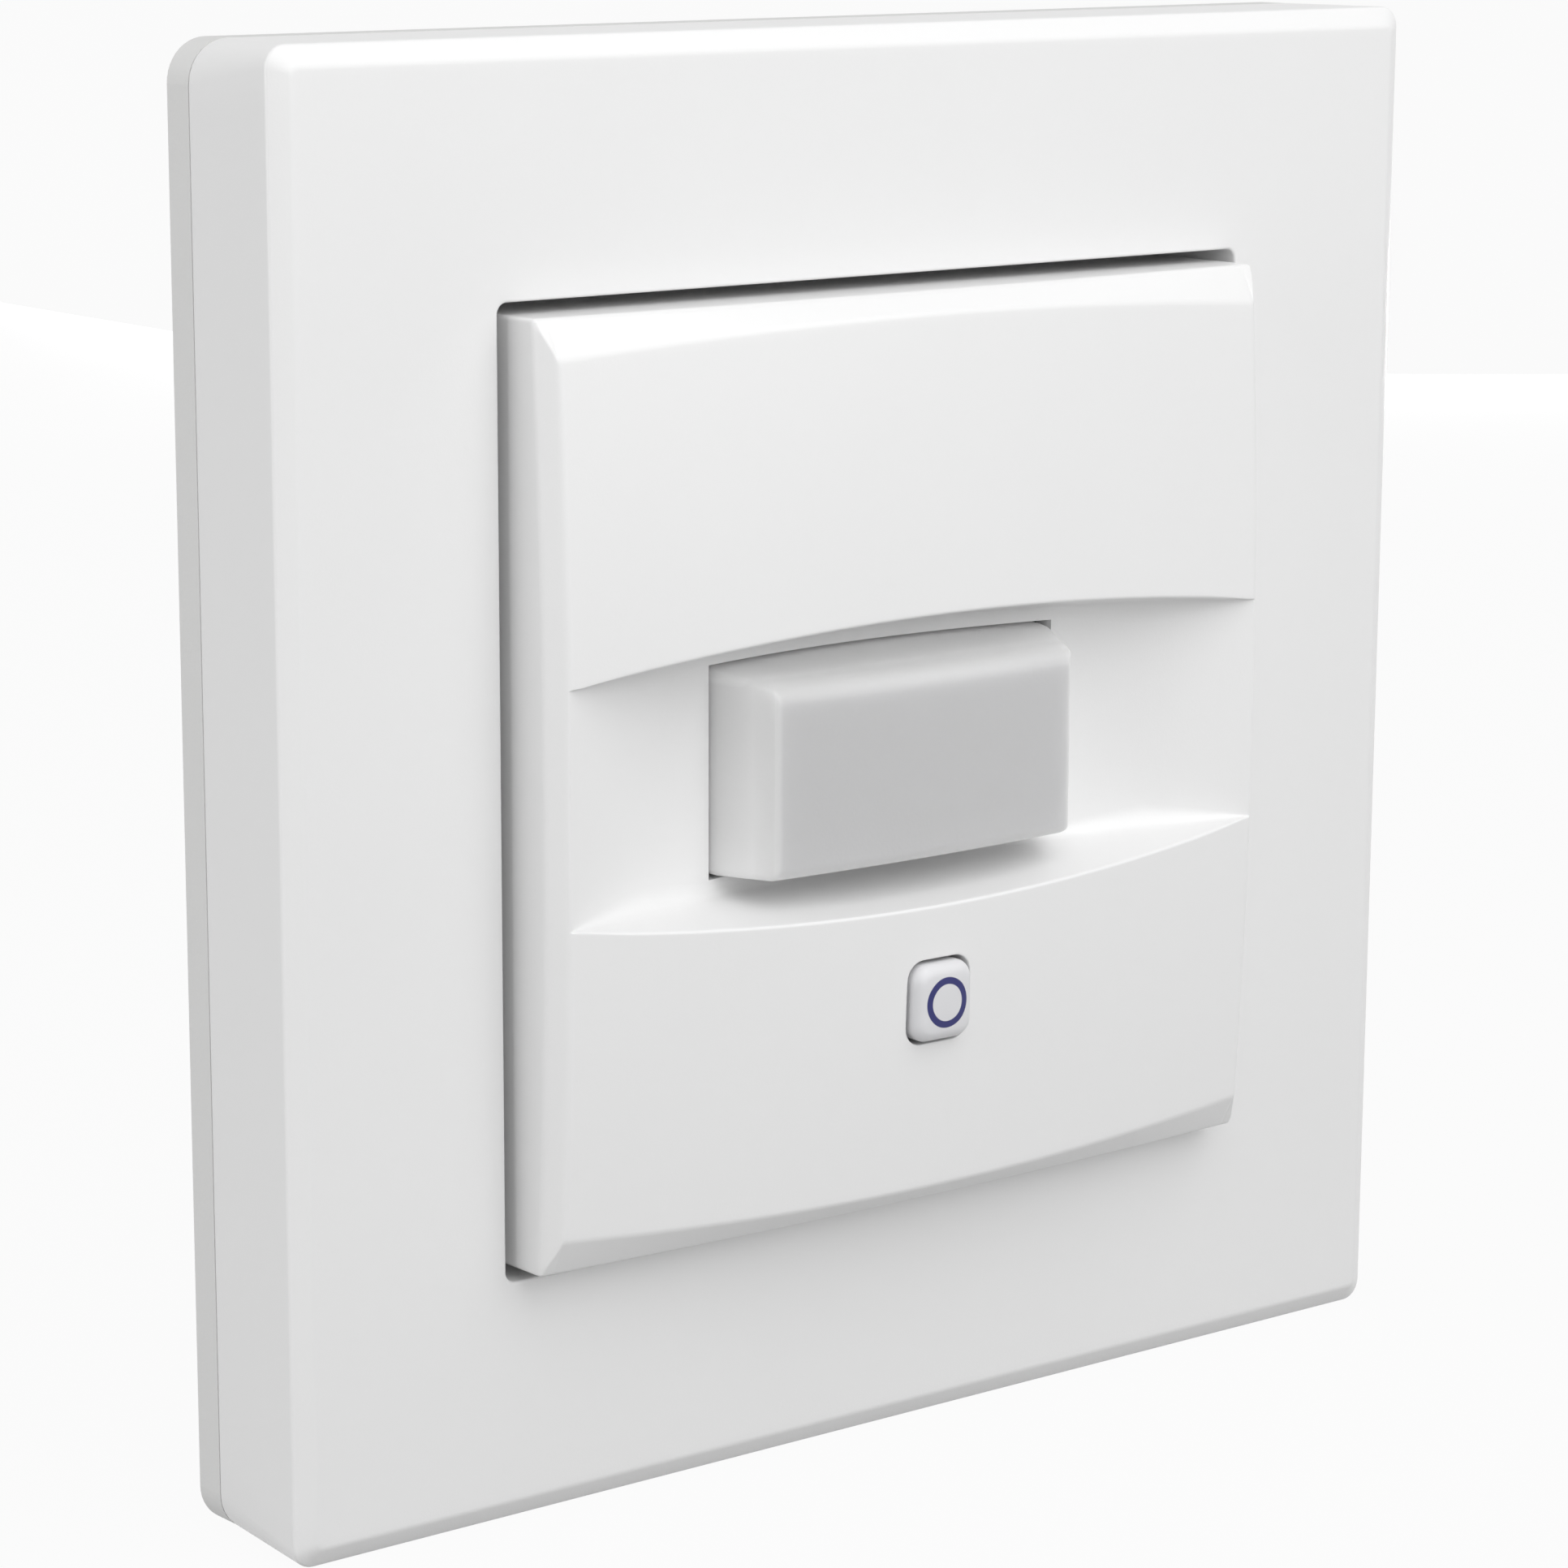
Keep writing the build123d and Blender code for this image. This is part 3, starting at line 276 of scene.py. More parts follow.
class ButtonSizes(bpy.types.PropertyGroup):
    """Sizes of the push-button and its printed ring, in millimetres."""

    corner: length("Corner radius", "Rounding of the cap's corners", 1.1)
    edge: length("Front edge radius", "Rounding of the cap's front edge", 0.8)
    crown: length("Crown", "How far the cap's front bows out", 0.08)
    neck: length("Neck", "How much narrower the cap is than its flange", 0.95)
    ring: length("Ring radius", "Radius of the printed ring", 1.35)
    stroke: length("Ring stroke", "Width of the printed ring", 0.42)


class Finishes(bpy.types.PropertyGroup):
    """Colours of the finishes."""

    white: colour("White plastic", "Frame and rocker plate", (0.80, 0.80, 0.80))
    lens: colour("Lens", "Edges of the frosted lens", (0.66, 0.66, 0.66))
    # Painted shade: the darker colour of the lens front's middle, for the dark hollow seen through its thin
    # wall
    lens_painted_shade: colour("Lens front", "Middle of the lens's front", (0.565, 0.565, 0.57))
    plate: colour("Mounting plate", "Rear band and mounting plate", (0.69, 0.69, 0.685))
    chassis: colour("Chassis", "Inner carrier", (0.60, 0.60, 0.59))
    button: colour("Button", "Push-button", (0.69, 0.69, 0.705))
    ink: colour("Ink", "Printed ring", (0.014, 0.016, 0.13))
    sleeve: colour("Cell sleeve", "Sleeve of the cells", (0.028, 0.030, 0.034))
    band: colour("Cell band", "Band at the cells' plus end", (0.42, 0.20, 0.05))
    board: colour("Board", "Solder mask", (0.010, 0.085, 0.030))
    module: colour("Radio module", "Solder mask of the radio board", (0.008, 0.02, 0.09))


class StageSettings(bpy.types.PropertyGroup):
    """Lamps of the stage."""

    key_power: power("Key lamp", "Power of the soft lamp above", 1.1)
    fill_power: power("Fill lamp", "Power of the soft lamp on the left", 6.3)
    sky: bpy.props.FloatProperty(
        name="Sky", description="Strength of the even light", subtype="FACTOR", min=0, max=1, default=0.42)
    back_power: power("Back lamp", "Power of the lamp behind", 1.5)


# Materials


def node_in(tree, kind, inputs=(), **settings):
    """Adds a shader node, sets its properties and fills its inputs with values or links."""
    node = tree.nodes.new("ShaderNode" + kind)
    for name, value in settings.items():
        setattr(node, name, value)
    for key, value in dict(inputs).items():
        if isinstance(value, bpy.types.NodeSocket):
            tree.links.new(value, node.inputs[key])
        else:
            node.inputs[key].default_value = value
    return node


def math_in(tree, operation, *values):
    """Adds a Math node and gives its output."""
    return node_in(tree, "Math", enumerate(values), operation=operation).outputs[0]


def local_place(tree):
    """The place on the piece, in metres from the frame's origin."""
    return node_in(tree, "TexCoord").outputs["Object"]


def ramp(tree, value, start, end, **settings):
    """Runs from 0 where the value is start to 1 where it is end."""
    inputs = {"Value": value, "From Min": start, "From Max": end}
    return node_in(tree, "MapRange", inputs, **settings).outputs[0]


def noise_in(tree, place, scale, detail, roughness):
    """Adds a noise texture and gives its value."""
    inputs = {"Vector": place, "Scale": scale, "Detail": detail, "Roughness": roughness}
    return node_in(tree, "TexNoise", inputs).outputs["Fac"]


def vector_in(tree, operation, first, second):
    """Adds a Vector Math node of two vectors and gives its output."""
    return node_in(tree, "VectorMath", {0: first, 1: second}, operation=operation).outputs[0]


def scaled(tree, tint, share):
    """A colour times a number."""
    return node_in(tree, "VectorMath", {0: tint, "Scale": share}, operation="SCALE").outputs[0]


def laid_over(tree, share, under, over):
    """A plain colour laid over another in a share from 0 to 1."""
    return node_in(tree, "Mix", {0: share, 6: under, 7: (*over, 1.0)}, data_type="RGBA").outputs[2]


def soften(shader, weight, scale):
    """Lets light scatter inside over scale millimetres."""
    shader.inputs["Subsurface Weight"].default_value = weight
    shader.inputs["Subsurface Radius"].default_value = (1.0, 1.0, 1.0)
    shader.inputs["Subsurface Scale"].default_value = scale * MM


def beyond_diffuse(tree):
    """1 on rays from the camera, a reflection or a clear piece, else 0."""
    light = node_in(tree, "LightPath").outputs
    direct = math_in(tree, "MAXIMUM", light["Is Camera Ray"], light["Is Glossy Ray"])
    return math_in(tree, "MAXIMUM", direct, light["Is Transmission Ray"])


def new_group(name, inputs):
    """Starts an effect group with named sockets, giving colour, roughness and height, with its two ends."""
    group = bpy.data.node_groups.new(name, "ShaderNodeTree")
    for label, value in inputs.items():
        kind = "NodeSocketFloat" if isinstance(value, float) else "NodeSocketColor"
        socket = group.interface.new_socket(label, in_out="INPUT", socket_type=kind)
        socket.default_value = value
    for label, kind in (("Color", "Color"), ("Roughness", "Float"), ("Height", "Float")):
        group.interface.new_socket(label, in_out="OUTPUT", socket_type="NodeSocket" + kind)
    return group, group.nodes.new("NodeGroupInput").outputs, group.nodes.new("NodeGroupOutput").inputs


def moulded_skin_group():
    """Spark-eroded plastic: a fine grain in the height, soft flow mottling in the colour and roughness."""
    if "moulded_skin" in bpy.data.node_groups:
        return bpy.data.node_groups["moulded_skin"]
    group, given, wanted = new_group("moulded_skin", {
        "Tint": (0.8, 0.8, 0.8, 1.0), "Grain Size": 0.12, "Mottling": 0.02, "Roughness": 0.4,
        "Roughness Spread": 0.05})
    place = local_place(group)
    scale = math_in(group, "DIVIDE", 1000.0, given["Grain Size"])
    grain = noise_in(group, place, scale, 2.0, 0.6)
    flow = noise_in(group, place, 55.0, 3.0, 0.55)
    half_scale = math_in(group, "MULTIPLY", scale, 0.5)
    specks = node_in(group, "TexVoronoi", {"Vector": place, "Scale": half_scale}).outputs["Distance"]
    swing = math_in(group, "SUBTRACT", flow, 0.5)
    share = math_in(group, "ADD", math_in(group, "MULTIPLY", swing, given["Mottling"]), 1.0)
    group.links.new(scaled(group, given["Tint"], share), wanted["Color"])
    spread = math_in(group, "MULTIPLY", swing, math_in(group, "MULTIPLY", given["Roughness Spread"], 2.0))
    group.links.new(math_in(group, "ADD", given["Roughness"], spread), wanted["Roughness"])
    height = math_in(group, "ADD", grain, math_in(group, "MULTIPLY", specks, 0.4))
    group.links.new(height, wanted["Height"])
    return group


def brushed_metal_group():
    """Rolled or drawn metal: fine streaks along x in height and roughness, faint stains in the colour."""
    if "brushed_metal" in bpy.data.node_groups:
        return bpy.data.node_groups["brushed_metal"]
    group, given, wanted = new_group("brushed_metal", {
        "Tint": (0.7, 0.7, 0.7, 1.0), "Streak Size": 0.15, "Stretch": 0.06, "Roughness": 0.3, "Stains": 0.1})
    place = local_place(group)
    squeeze = node_in(group, "CombineXYZ", {0: given["Stretch"], 1: 1.0, 2: 1.0}).outputs[0]
    run = vector_in(group, "MULTIPLY", place, squeeze)
    scale = math_in(group, "DIVIDE", 1000.0, given["Streak Size"])
    streaks = noise_in(group, run, scale, 3.0, 0.7)
    stains = noise_in(group, place, 240.0, 4.0, 0.6)
    swing = math_in(group, "MULTIPLY", math_in(group, "SUBTRACT", stains, 0.5), given["Stains"])
    group.links.new(scaled(group, given["Tint"], math_in(group, "ADD", swing, 1.0)), wanted["Color"])
    rough = math_in(group, "MULTIPLY", math_in(group, "SUBTRACT", streaks, 0.5), 0.25)
    group.links.new(math_in(group, "ADD", given["Roughness"], rough), wanted["Roughness"])
    group.links.new(streaks, wanted["Height"])
    return group


def new_material(name):
    """An empty node material with a Principled shader on its output."""
    material = bpy.data.materials.new(name)
    material.use_nodes = True
    tree = material.node_tree
    tree.nodes.clear()
    shader = tree.nodes.new("ShaderNodeBsdfPrincipled")
    out = tree.nodes.new("ShaderNodeOutputMaterial")
    tree.links.new(shader.outputs["BSDF"], out.inputs["Surface"])
    return material, tree, shader


def place_group(tree, shader, group, values, depth):
    """Wires an effect group with a material's own values to its shader, and gives its colour.

    Its height becomes a bump depth millimetres deep."""
    result = node_in(tree, "Group", values, node_tree=group).outputs
    tree.links.new(result["Color"], shader.inputs["Base Color"])
    tree.links.new(result["Roughness"], shader.inputs["Roughness"])
    bump = node_in(tree, "Bump", {"Height": result["Height"], "Distance": depth * MM, "Strength": 0.6})
    tree.links.new(bump.outputs["Normal"], shader.inputs["Normal"])
    return result["Color"]


def moulded(name, tint, grain, mottling, roughness, depth):
    """A new material with the moulded skin: the material, its tree, its shader and the skin's colour."""
    material, tree, shader = new_material(name)
    values = {"Tint": (*tint, 1.0), "Grain Size": grain, "Mottling": mottling, "Roughness": roughness}
    material.diffuse_color = (*tint, 1.0)
    return material, tree, shader, place_group(tree, shader, moulded_skin_group(), values, depth)


def plastic(name, tint, roughness, grain=0.12, depth=0.01, mottling=0.02, coat=0.0):
    """A moulded plastic in the material's own tint, grain and gloss."""
    if name in bpy.data.materials:
        return bpy.data.materials[name]
    material, _, shader, _ = moulded(name, tint, grain, mottling, roughness, depth)
    shader.inputs["Coat Weight"].default_value = coat
    return material


def metal(name, tint, roughness):
    """A bare or plated metal with fine streaks."""
    if name in bpy.data.materials:
        return bpy.data.materials[name]
    material, tree, shader = new_material(name)
    values = {"Tint": (*tint, 1.0), "Streak Size": 0.15, "Stretch": 0.06, "Roughness": roughness}
    place_group(tree, shader, brushed_metal_group(), values, 0.004)
    shader.inputs["Metallic"].default_value = 1.0
    material.diffuse_color = (*tint, 1.0)
    return material


def frosted_lens(name, tint, painted_shade_tint):
    """Frosted polyethylene with painted shade and painted light in its colour: the middle of its front is
    dimmer, a painted shade of the dark hollow seen through the thin wall.

    The painted shade's share is the product of three ramps, over out and over the distance from the middle
    along x and along z. The top behind the front and the two ends are painted paler than the rest, painted
    light where the scoop's upper lip and the lamps leave them in shade."""
    material, tree, shader, skin = moulded(name, tint, 0.2, 0.03, 0.5, 0.01)
    place = local_place(tree)
    parts = node_in(tree, "SeparateXYZ", {0: place}).outputs
    # Painted shade: the share of the front's middle that gets the darker colour
    painted_shade_share = ramp(tree, parts[1], -0.0135, -0.0145)
    for axis, middle, edge, core in ((0, 0.0, 0.0116, 0.011), (2, -0.0005, 0.0062, 0.0046)):
        away = math_in(tree, "ABSOLUTE", math_in(tree, "SUBTRACT", parts[axis], middle))
        painted_shade_share = math_in(tree, "MULTIPLY", painted_shade_share, ramp(tree, away, edge, core, interpolation_type="SMOOTHSTEP"))
    painted_shade_colour = laid_over(tree, painted_shade_share, skin, painted_shade_tint)
    # Painted light: the top behind the front is made up to 48 % paler and the two ends up to 28 %, where the
    # lip above and the lamps leave them in shade
    back, high = ramp(tree, parts[1], -0.0142, -0.0125), ramp(tree, parts[2], 0.0045, 0.0058)
    end = ramp(tree, math_in(tree, "ABSOLUTE", parts[0]), 0.0115, 0.0122)
    painted_top_light = math_in(tree, "MULTIPLY", math_in(tree, "MULTIPLY", back, high), 0.48)
    gain = math_in(tree, "MAXIMUM", painted_top_light, math_in(tree, "MULTIPLY", end, 0.28))
    painted_light_colour = scaled(tree, painted_shade_colour, math_in(tree, "ADD", gain, 1.0))
    tree.links.new(painted_light_colour, shader.inputs["Base Color"])
    soften(shader, 1.0, 3.0)
    values = {"IOR": 1.35, "Sheen Weight": 0.6, "Sheen Roughness": 0.4, "Specular IOR Level": 0.3}
    for key, value in values.items():
        shader.inputs[key].default_value = value
    return material


def printed_cap(name, tint, ink, centre_z, ring, stroke, front):
    """White cap with a ring of ink on its front.

    It shows where the distance from the cap's axis is the ring's radius, give or take half the stroke."""
    material, tree, shader, skin = moulded(name, tint, 0.1, 0.01, 0.35, 0.004)
    place = local_place(tree)
    centre = {"Vector": place, "Location": (0.0, 0.0, -centre_z * MM)}
    local = node_in(tree, "Mapping", centre).outputs[0]
    parts = node_in(tree, "SeparateXYZ", {0: local}).outputs
    flat = node_in(tree, "CombineXYZ", {0: parts[0], 2: parts[2]}).outputs[0]
    radius = node_in(tree, "VectorMath", {0: flat}, operation="LENGTH").outputs["Value"]
    away = math_in(tree, "ABSOLUTE", math_in(tree, "SUBTRACT", radius, ring * MM))
    blur = 0.02
    edge = ramp(tree, away, (stroke / 2 + blur) * MM, (stroke / 2 - blur) * MM)
    before = math_in(tree, "LESS_THAN", parts[1], -front * MM)
    printed = laid_over(tree, math_in(tree, "MULTIPLY", edge, before), skin, ink)
    tree.links.new(printed, shader.inputs["Base Color"])
    soften(shader, 0.2, 0.6)
    return material


def board_laminate(name, mask):
    """Printed circuit board: solder mask over tracks on a 1.27 mm raster and scattered pads."""
    if name in bpy.data.materials:
        return bpy.data.materials[name]
    material, tree, shader, skin = moulded(name, mask, 0.4, 0.3, 0.32, 0.004)
    place = local_place(tree)
    warp = node_in(tree, "TexNoise", {"Vector": place, "Scale": 90.0, "Detail": 0.0})
    steps = vector_in(tree, "SNAP", warp.outputs["Color"], (0.2, 0.2, 0.2))
    shift = vector_in(tree, "MULTIPLY", steps, (0.012, 0.012, 0.012))
    parts = node_in(tree, "SeparateXYZ", {0: vector_in(tree, "ADD", place, shift)}).outputs
    raster, track_half = 1.27 * MM, 0.11 * MM
    lines = []
    for axis in (0, 2):
        wave = math_in(tree, "PINGPONG", parts[axis], raster / 2)
        lines.append(math_in(tree, "LESS_THAN", wave, track_half))
    pads = node_in(tree, "TexVoronoi", {"Vector": place, "Scale": 420.0, "Randomness": 0.35})
    pad = math_in(tree, "LESS_THAN", pads.outputs["Distance"], 0.16)
    track = math_in(tree, "MULTIPLY", math_in(tree, "MAXIMUM", lines[0], lines[1]), 0.55)
    tracks = laid_over(tree, track, skin, (mask[0] * 2.2, mask[1] * 1.9, mask[2] * 2.0))
    tree.links.new(laid_over(tree, pad, tracks, (0.55, 0.53, 0.47)), shader.inputs["Base Color"])
    tree.links.new(math_in(tree, "MULTIPLY", pad, 0.9), shader.inputs["Metallic"])
    return material


def cell_sleeve(name, sleeve, band, sign, cell_length):
    """Foil sleeve of a cell with a band at its plus end and bare steel at both ends.

    Along the cell the place runs from 0 at the minus end to 1 at the plus end, in the direction of sign."""
    material, tree, shader, skin = moulded(name, sleeve, 0.5, 0.1, 0.28, 0.004)
    place = local_place(tree)
    x = node_in(tree, "SeparateXYZ", {0: place}).outputs[0]
    along = math_in(tree, "ADD", math_in(tree, "MULTIPLY", x, sign / (cell_length * MM)), 0.5)
    banded = math_in(tree, "GREATER_THAN", along, 0.74)
    low, high = math_in(tree, "LESS_THAN", along, 0.012), math_in(tree, "GREATER_THAN", along, 0.962)
    bare = math_in(tree, "MAXIMUM", low, high)
    foil = laid_over(tree, banded, skin, band)
    tree.links.new(laid_over(tree, bare, foil, (0.62, 0.62, 0.60)), shader.inputs["Base Color"])
    bright = math_in(tree, "MAXIMUM", bare, math_in(tree, "MULTIPLY", banded, 0.6))
    tree.links.new(bright, shader.inputs["Metallic"])
    shader.inputs["Coat Weight"].default_value = 0.3
    return material


def dress(piece, material, body, node):
    """Gives a new piece its material in a slot and its body, and hides the CAD node it stands in for."""
    piece.data.materials.append(material)
    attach(piece, body)
    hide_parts(node)
    return piece


# Operators


class WALLSWITCH_OT_frame_cover(bpy.types.Operator):
    """Moulded frame: a bevelled square with a rounded opening, hollow behind, with four hooks"""

    bl_idname = "wall_switch.frame_cover"
    bl_label = "Frame cover"

    def execute(self, context):
        s = context.scene.wall_switch_frame
        hook_end, face = FRAME_SPAN["out"]
        half = FRAME_SPAN["x"][1]
        surface = Surface()
        # The section as inset from the outside and out, with each edge rounded over its own lead
        slope = np.array([s.bevel_wide, s.bevel_deep])
        run = slope / np.hypot(*slope)
        low_knot, high_knot = np.array([0.0, face - s.bevel_deep]), np.array([s.bevel_wide, face])
        low_lead, high_lead, mouth_lead, foot_lead = 0.16, 0.22, 0.2, 0.15
        low = bend(low_knot - [0, low_lead], low_knot, low_knot + run * low_lead, 5)
        high = bend(high_knot - run * high_lead, high_knot, high_knot + [high_lead, 0], 6)
        mouth_knot, foot_knot = np.array([s.border, face]), np.array([0.0, s.back])
        mouth = bend(mouth_knot - [mouth_lead, 0], mouth_knot, mouth_knot - [0, mouth_lead], 7)
        foot = bend(foot_knot + [foot_lead, 0], foot_knot, foot_knot + [0, foot_lead], 5)
        lip, collar, inside = s.border + s.lip, s.border - s.collar, face - s.skin
        lip_top, lip_foot, collar_foot = 3.0, 2.4, 2.3
        rows = [(s.wall, s.back), (0.3, s.back), *foot, (0, s.back + 0.4), (0, face - s.bevel_deep - 0.5),
                *low, *high, (s.bevel_wide + 0.6, face), (s.border - 0.8, face), *mouth,
                (s.border, face - 0.8), (s.border, lip_top + 0.1), (s.border, lip_top), (lip, lip_top),
                (lip, lip_foot), (collar, collar_foot), (collar, inside), (s.wall, inside)]
        inset, out = np.array(rows).T
        # The outer corners tighten from the wall to the face
        wall_corner = np.interp(out, [s.back, face - s.bevel_deep], [s.corner, s.front_corner])
        face_corner = np.interp(inset, [0, s.bevel_wide, collar, s.border], [s.front_corner, 0.5, 0.8, 0.7])
        on_wall = (inset < 0.01) | (out < s.back + 0.2)
        radius = np.where(on_wall, np.maximum(wall_corner - inset, 0.8), face_corner)
        radius = np.where(inset > s.border + 0.01, 0.4, radius)
        split = np.array([0.025, 0.125, 0.25, 0.35, 0.45, 0.55, 0.65, 0.75, 0.875, 0.975])
        x, z, _ = rounded_square(half - inset, half - inset, radius, split)
        numbers = surface.add_points(x, z, out[:, None])
        surface.add_quads(grid_quads(np.concatenate([numbers, numbers[:1]]), closed=True))
        for sx in (-1, 1):
            for sz in (-1, 1):
                hook_profile(surface, sx, sz, hook_end, inside)
        piece = surface.build("frame_cover")
        finishes = context.scene.wall_switch_finishes
        material = plastic("white_frame_plastic", finishes.white, 0.33, grain=0.10, depth=0.006)
        dress(piece, material, "base", "frame")
        return {"FINISHED"}


def hook_profile(surface, sx, sz, back, front):
    """A hook at one corner of the frame: an upright strip with a nose, extruded along x with rounded edges.

    The side view is a closed outline of z over out, drawn in by the easing at both ends of x."""
    ease, near_x, far_x, middle_z = 0.06, 29.5, 36.5, 36.0
    z = np.array([35.4, 36.6, 36.6, 37.1, 36.98, 36.6, 35.5, 35.4])
    out = np.array([front, front, 1.0, 0.85, 0.55, back, back, 0.7])
    draw = np.array([ease, 0.0, 0.0, ease])[:, None]
    z = z + np.sign(middle_z - z) * draw
    out = out + np.sign((front + back) / 2 - out) * draw
    x = np.broadcast_to(np.array([near_x, near_x + ease, far_x - ease, far_x])[:, None], z.shape)
    surface.add_rings(sx * x, sz * z, out)
    for row in (0, -1):
        end_x, end_z, end_out = close_ring(x[row], z[row], out[row])
        surface.add_rings(sx * end_x, sz * end_z, end_out)


# The block of the plate's grid, half its length in x and its range in z, that the button's hole replaces
BLOCK_X = 5.0
BLOCK_Z = (10.5, 19.0)
NEAR = 1e-6


class PlateShape:
    """The rocker plate's face as heights out over x and z, in millimetres.

    The dome is a paraboloid. The side bevels fall straight from the dome to the rim, and the crescents fall
    from a border that bends away from the edge. The scoop is a floor on a parabola between leaning walls."""

    def __init__(self, sizes, half):
        self.s = sizes
        self.half = half
        self.flat = half - sizes.edge

    def dome(self, x, z):
        """Crown less x squared over twice one radius, less z squared over twice the other."""
        return self.s.crown_out - x * x / (2 * self.s.dome_x) - z * z / (2 * self.s.dome_z)

    def rim(self, along):
        """The rim's height, which falls with the square of the distance along it."""
        return self.s.rim_out - self.s.rim_drop * (along / self.half) ** 2

    def face(self, x, z):
        """Dome and side bevels, rounded where they meet."""
        border = self.half - self.s.side_bevel
        top = self.dome(border, z)
        bevel = top + (np.abs(x) - border) / self.s.side_bevel * (self.rim(z) - top)
        rounding = 0.33
        return soft_min(self.dome(x, z), bevel, rounding)

    def border(self, x):
        """The crescent's inner border, and in the side bevels the mitre that runs on to the corner."""
        side = self.half - self.s.side_bevel
        wider = self.s.end_more * (np.minimum(np.abs(x), side) / self.half) ** 2
        curve = self.half - self.s.end_bevel - wider
        share = np.clip((np.abs(x) - side) / self.s.side_bevel, 0, 1)
        return curve + (self.half - curve) * share

    def floor(self, x):
        """The scoop's floor, a parabola in x."""
        return self.s.scoop_end - self.s.scoop_deep * (1 - (x / self.s.scoop_half) ** 2)

    def scoop_edges(self, x):
        """Where the walls leave the floor and where they meet the face, as z over x."""
        share = (x / self.s.scoop_half) ** 2
        foot = self.s.floor_half - self.s.floor_narrows * share
        mouth = self.s.top_half - self.s.top_narrows * share
        # The mouth's width holds 2 mm past the crown, so the wall's line is followed down to the face
        floor, past = self.floor(x), self.s.crown_out + 2.0
        top = mouth
        for _ in range(4):
            top = foot + (mouth - foot) * (self.face(x, top) - floor) / (past - floor)
        return foot, np.maximum(top, foot + 0.08)

    def on_face(self, x, z, drop=0.0):
        """Points on the face, or below it by drop, as x, z and out."""
        return np.stack([x, z, self.face(x, z) - drop], axis=-2)

    def rows(self, x):
        """Rows of z and out from the upper crescent's outside to the plate's middle, over columns x."""
        s = self.s
        foot, top = self.scoop_edges(x)
        border = self.border(x)
        edge_out = self.rim(x)
        border_out = self.face(x, border)
        flat = np.full_like(x, self.flat)
        slope = (edge_out - border_out) / np.maximum(self.half - border, 0.05)
        start = np.stack([flat, border_out + slope * (flat - border)])
        knot = np.stack([border, border_out])
        step = np.minimum(s.edge, 0.45 * (flat - border))
        before = knot + (start - knot) * (step / np.hypot(*(start - knot)))
        after = np.stack([border - step, self.face(x, border - step)])
        corner = bend(before, knot, after, 7)
        rows = [start, (start + before) / 2, *corner]
        # The face between the crescent and the scoop, on straight rows round the button
        lip = np.minimum(s.scoop_edge, 0.45 * (top - foot))
        guard = top + lip + 0.15
        knots = [after[0], after[0] - 0.3, np.full_like(x, BLOCK_Z[1]), np.full_like(x, BLOCK_Z[0]), guard]
        for a, b, count in zip(knots[:-1], knots[1:], (1, 7, 12, 3)):
            for share in np.arange(1, count + 1) / count:
                rows.append(self.on_face(x, a + (b - a) * share)[1:])
        # The scoop's lip, wall, foot and floor
        floor = np.minimum(self.floor(x), self.face(x, foot) - 0.002)
        high = np.stack([top, self.face(x, top)])
        low = np.stack([foot, floor])
        wall = low - high
        wall_long = np.hypot(*wall)
        lead = np.stack([top + lip, self.face(x, top + lip)])
        drop = high + wall * (np.minimum(s.scoop_edge, 0.45 * wall_long) / wall_long)
        # The foot's rounding doubles within 6 mm past the lens opening
        past_eye = np.clip((np.abs(x) - s.eye_x) / 6.0, 0, 1)
        ease = np.minimum(s.foot_edge * (1 + past_eye), 0.45 * wall_long)
        rise = low - wall * (ease / wall_long)
        flat_z = foot - ease
        land = np.stack([flat_z, floor])
        rows.extend([*bend(lead, high, drop, 7), *bend(rise, low, land, 9)])
        eye = np.minimum(s.eye_z, flat_z - 0.05)
        for level in ((flat_z + eye) / 2, eye, eye * 0.85, eye * 0.6, eye * 0.3, eye * 0.0):
            rows.append(np.stack([level, floor]))
        z, out = np.moveaxis(np.array(rows), 1, 0)
        return z, soft_min(out, self.face(x, z) + 0.08, 0.08)


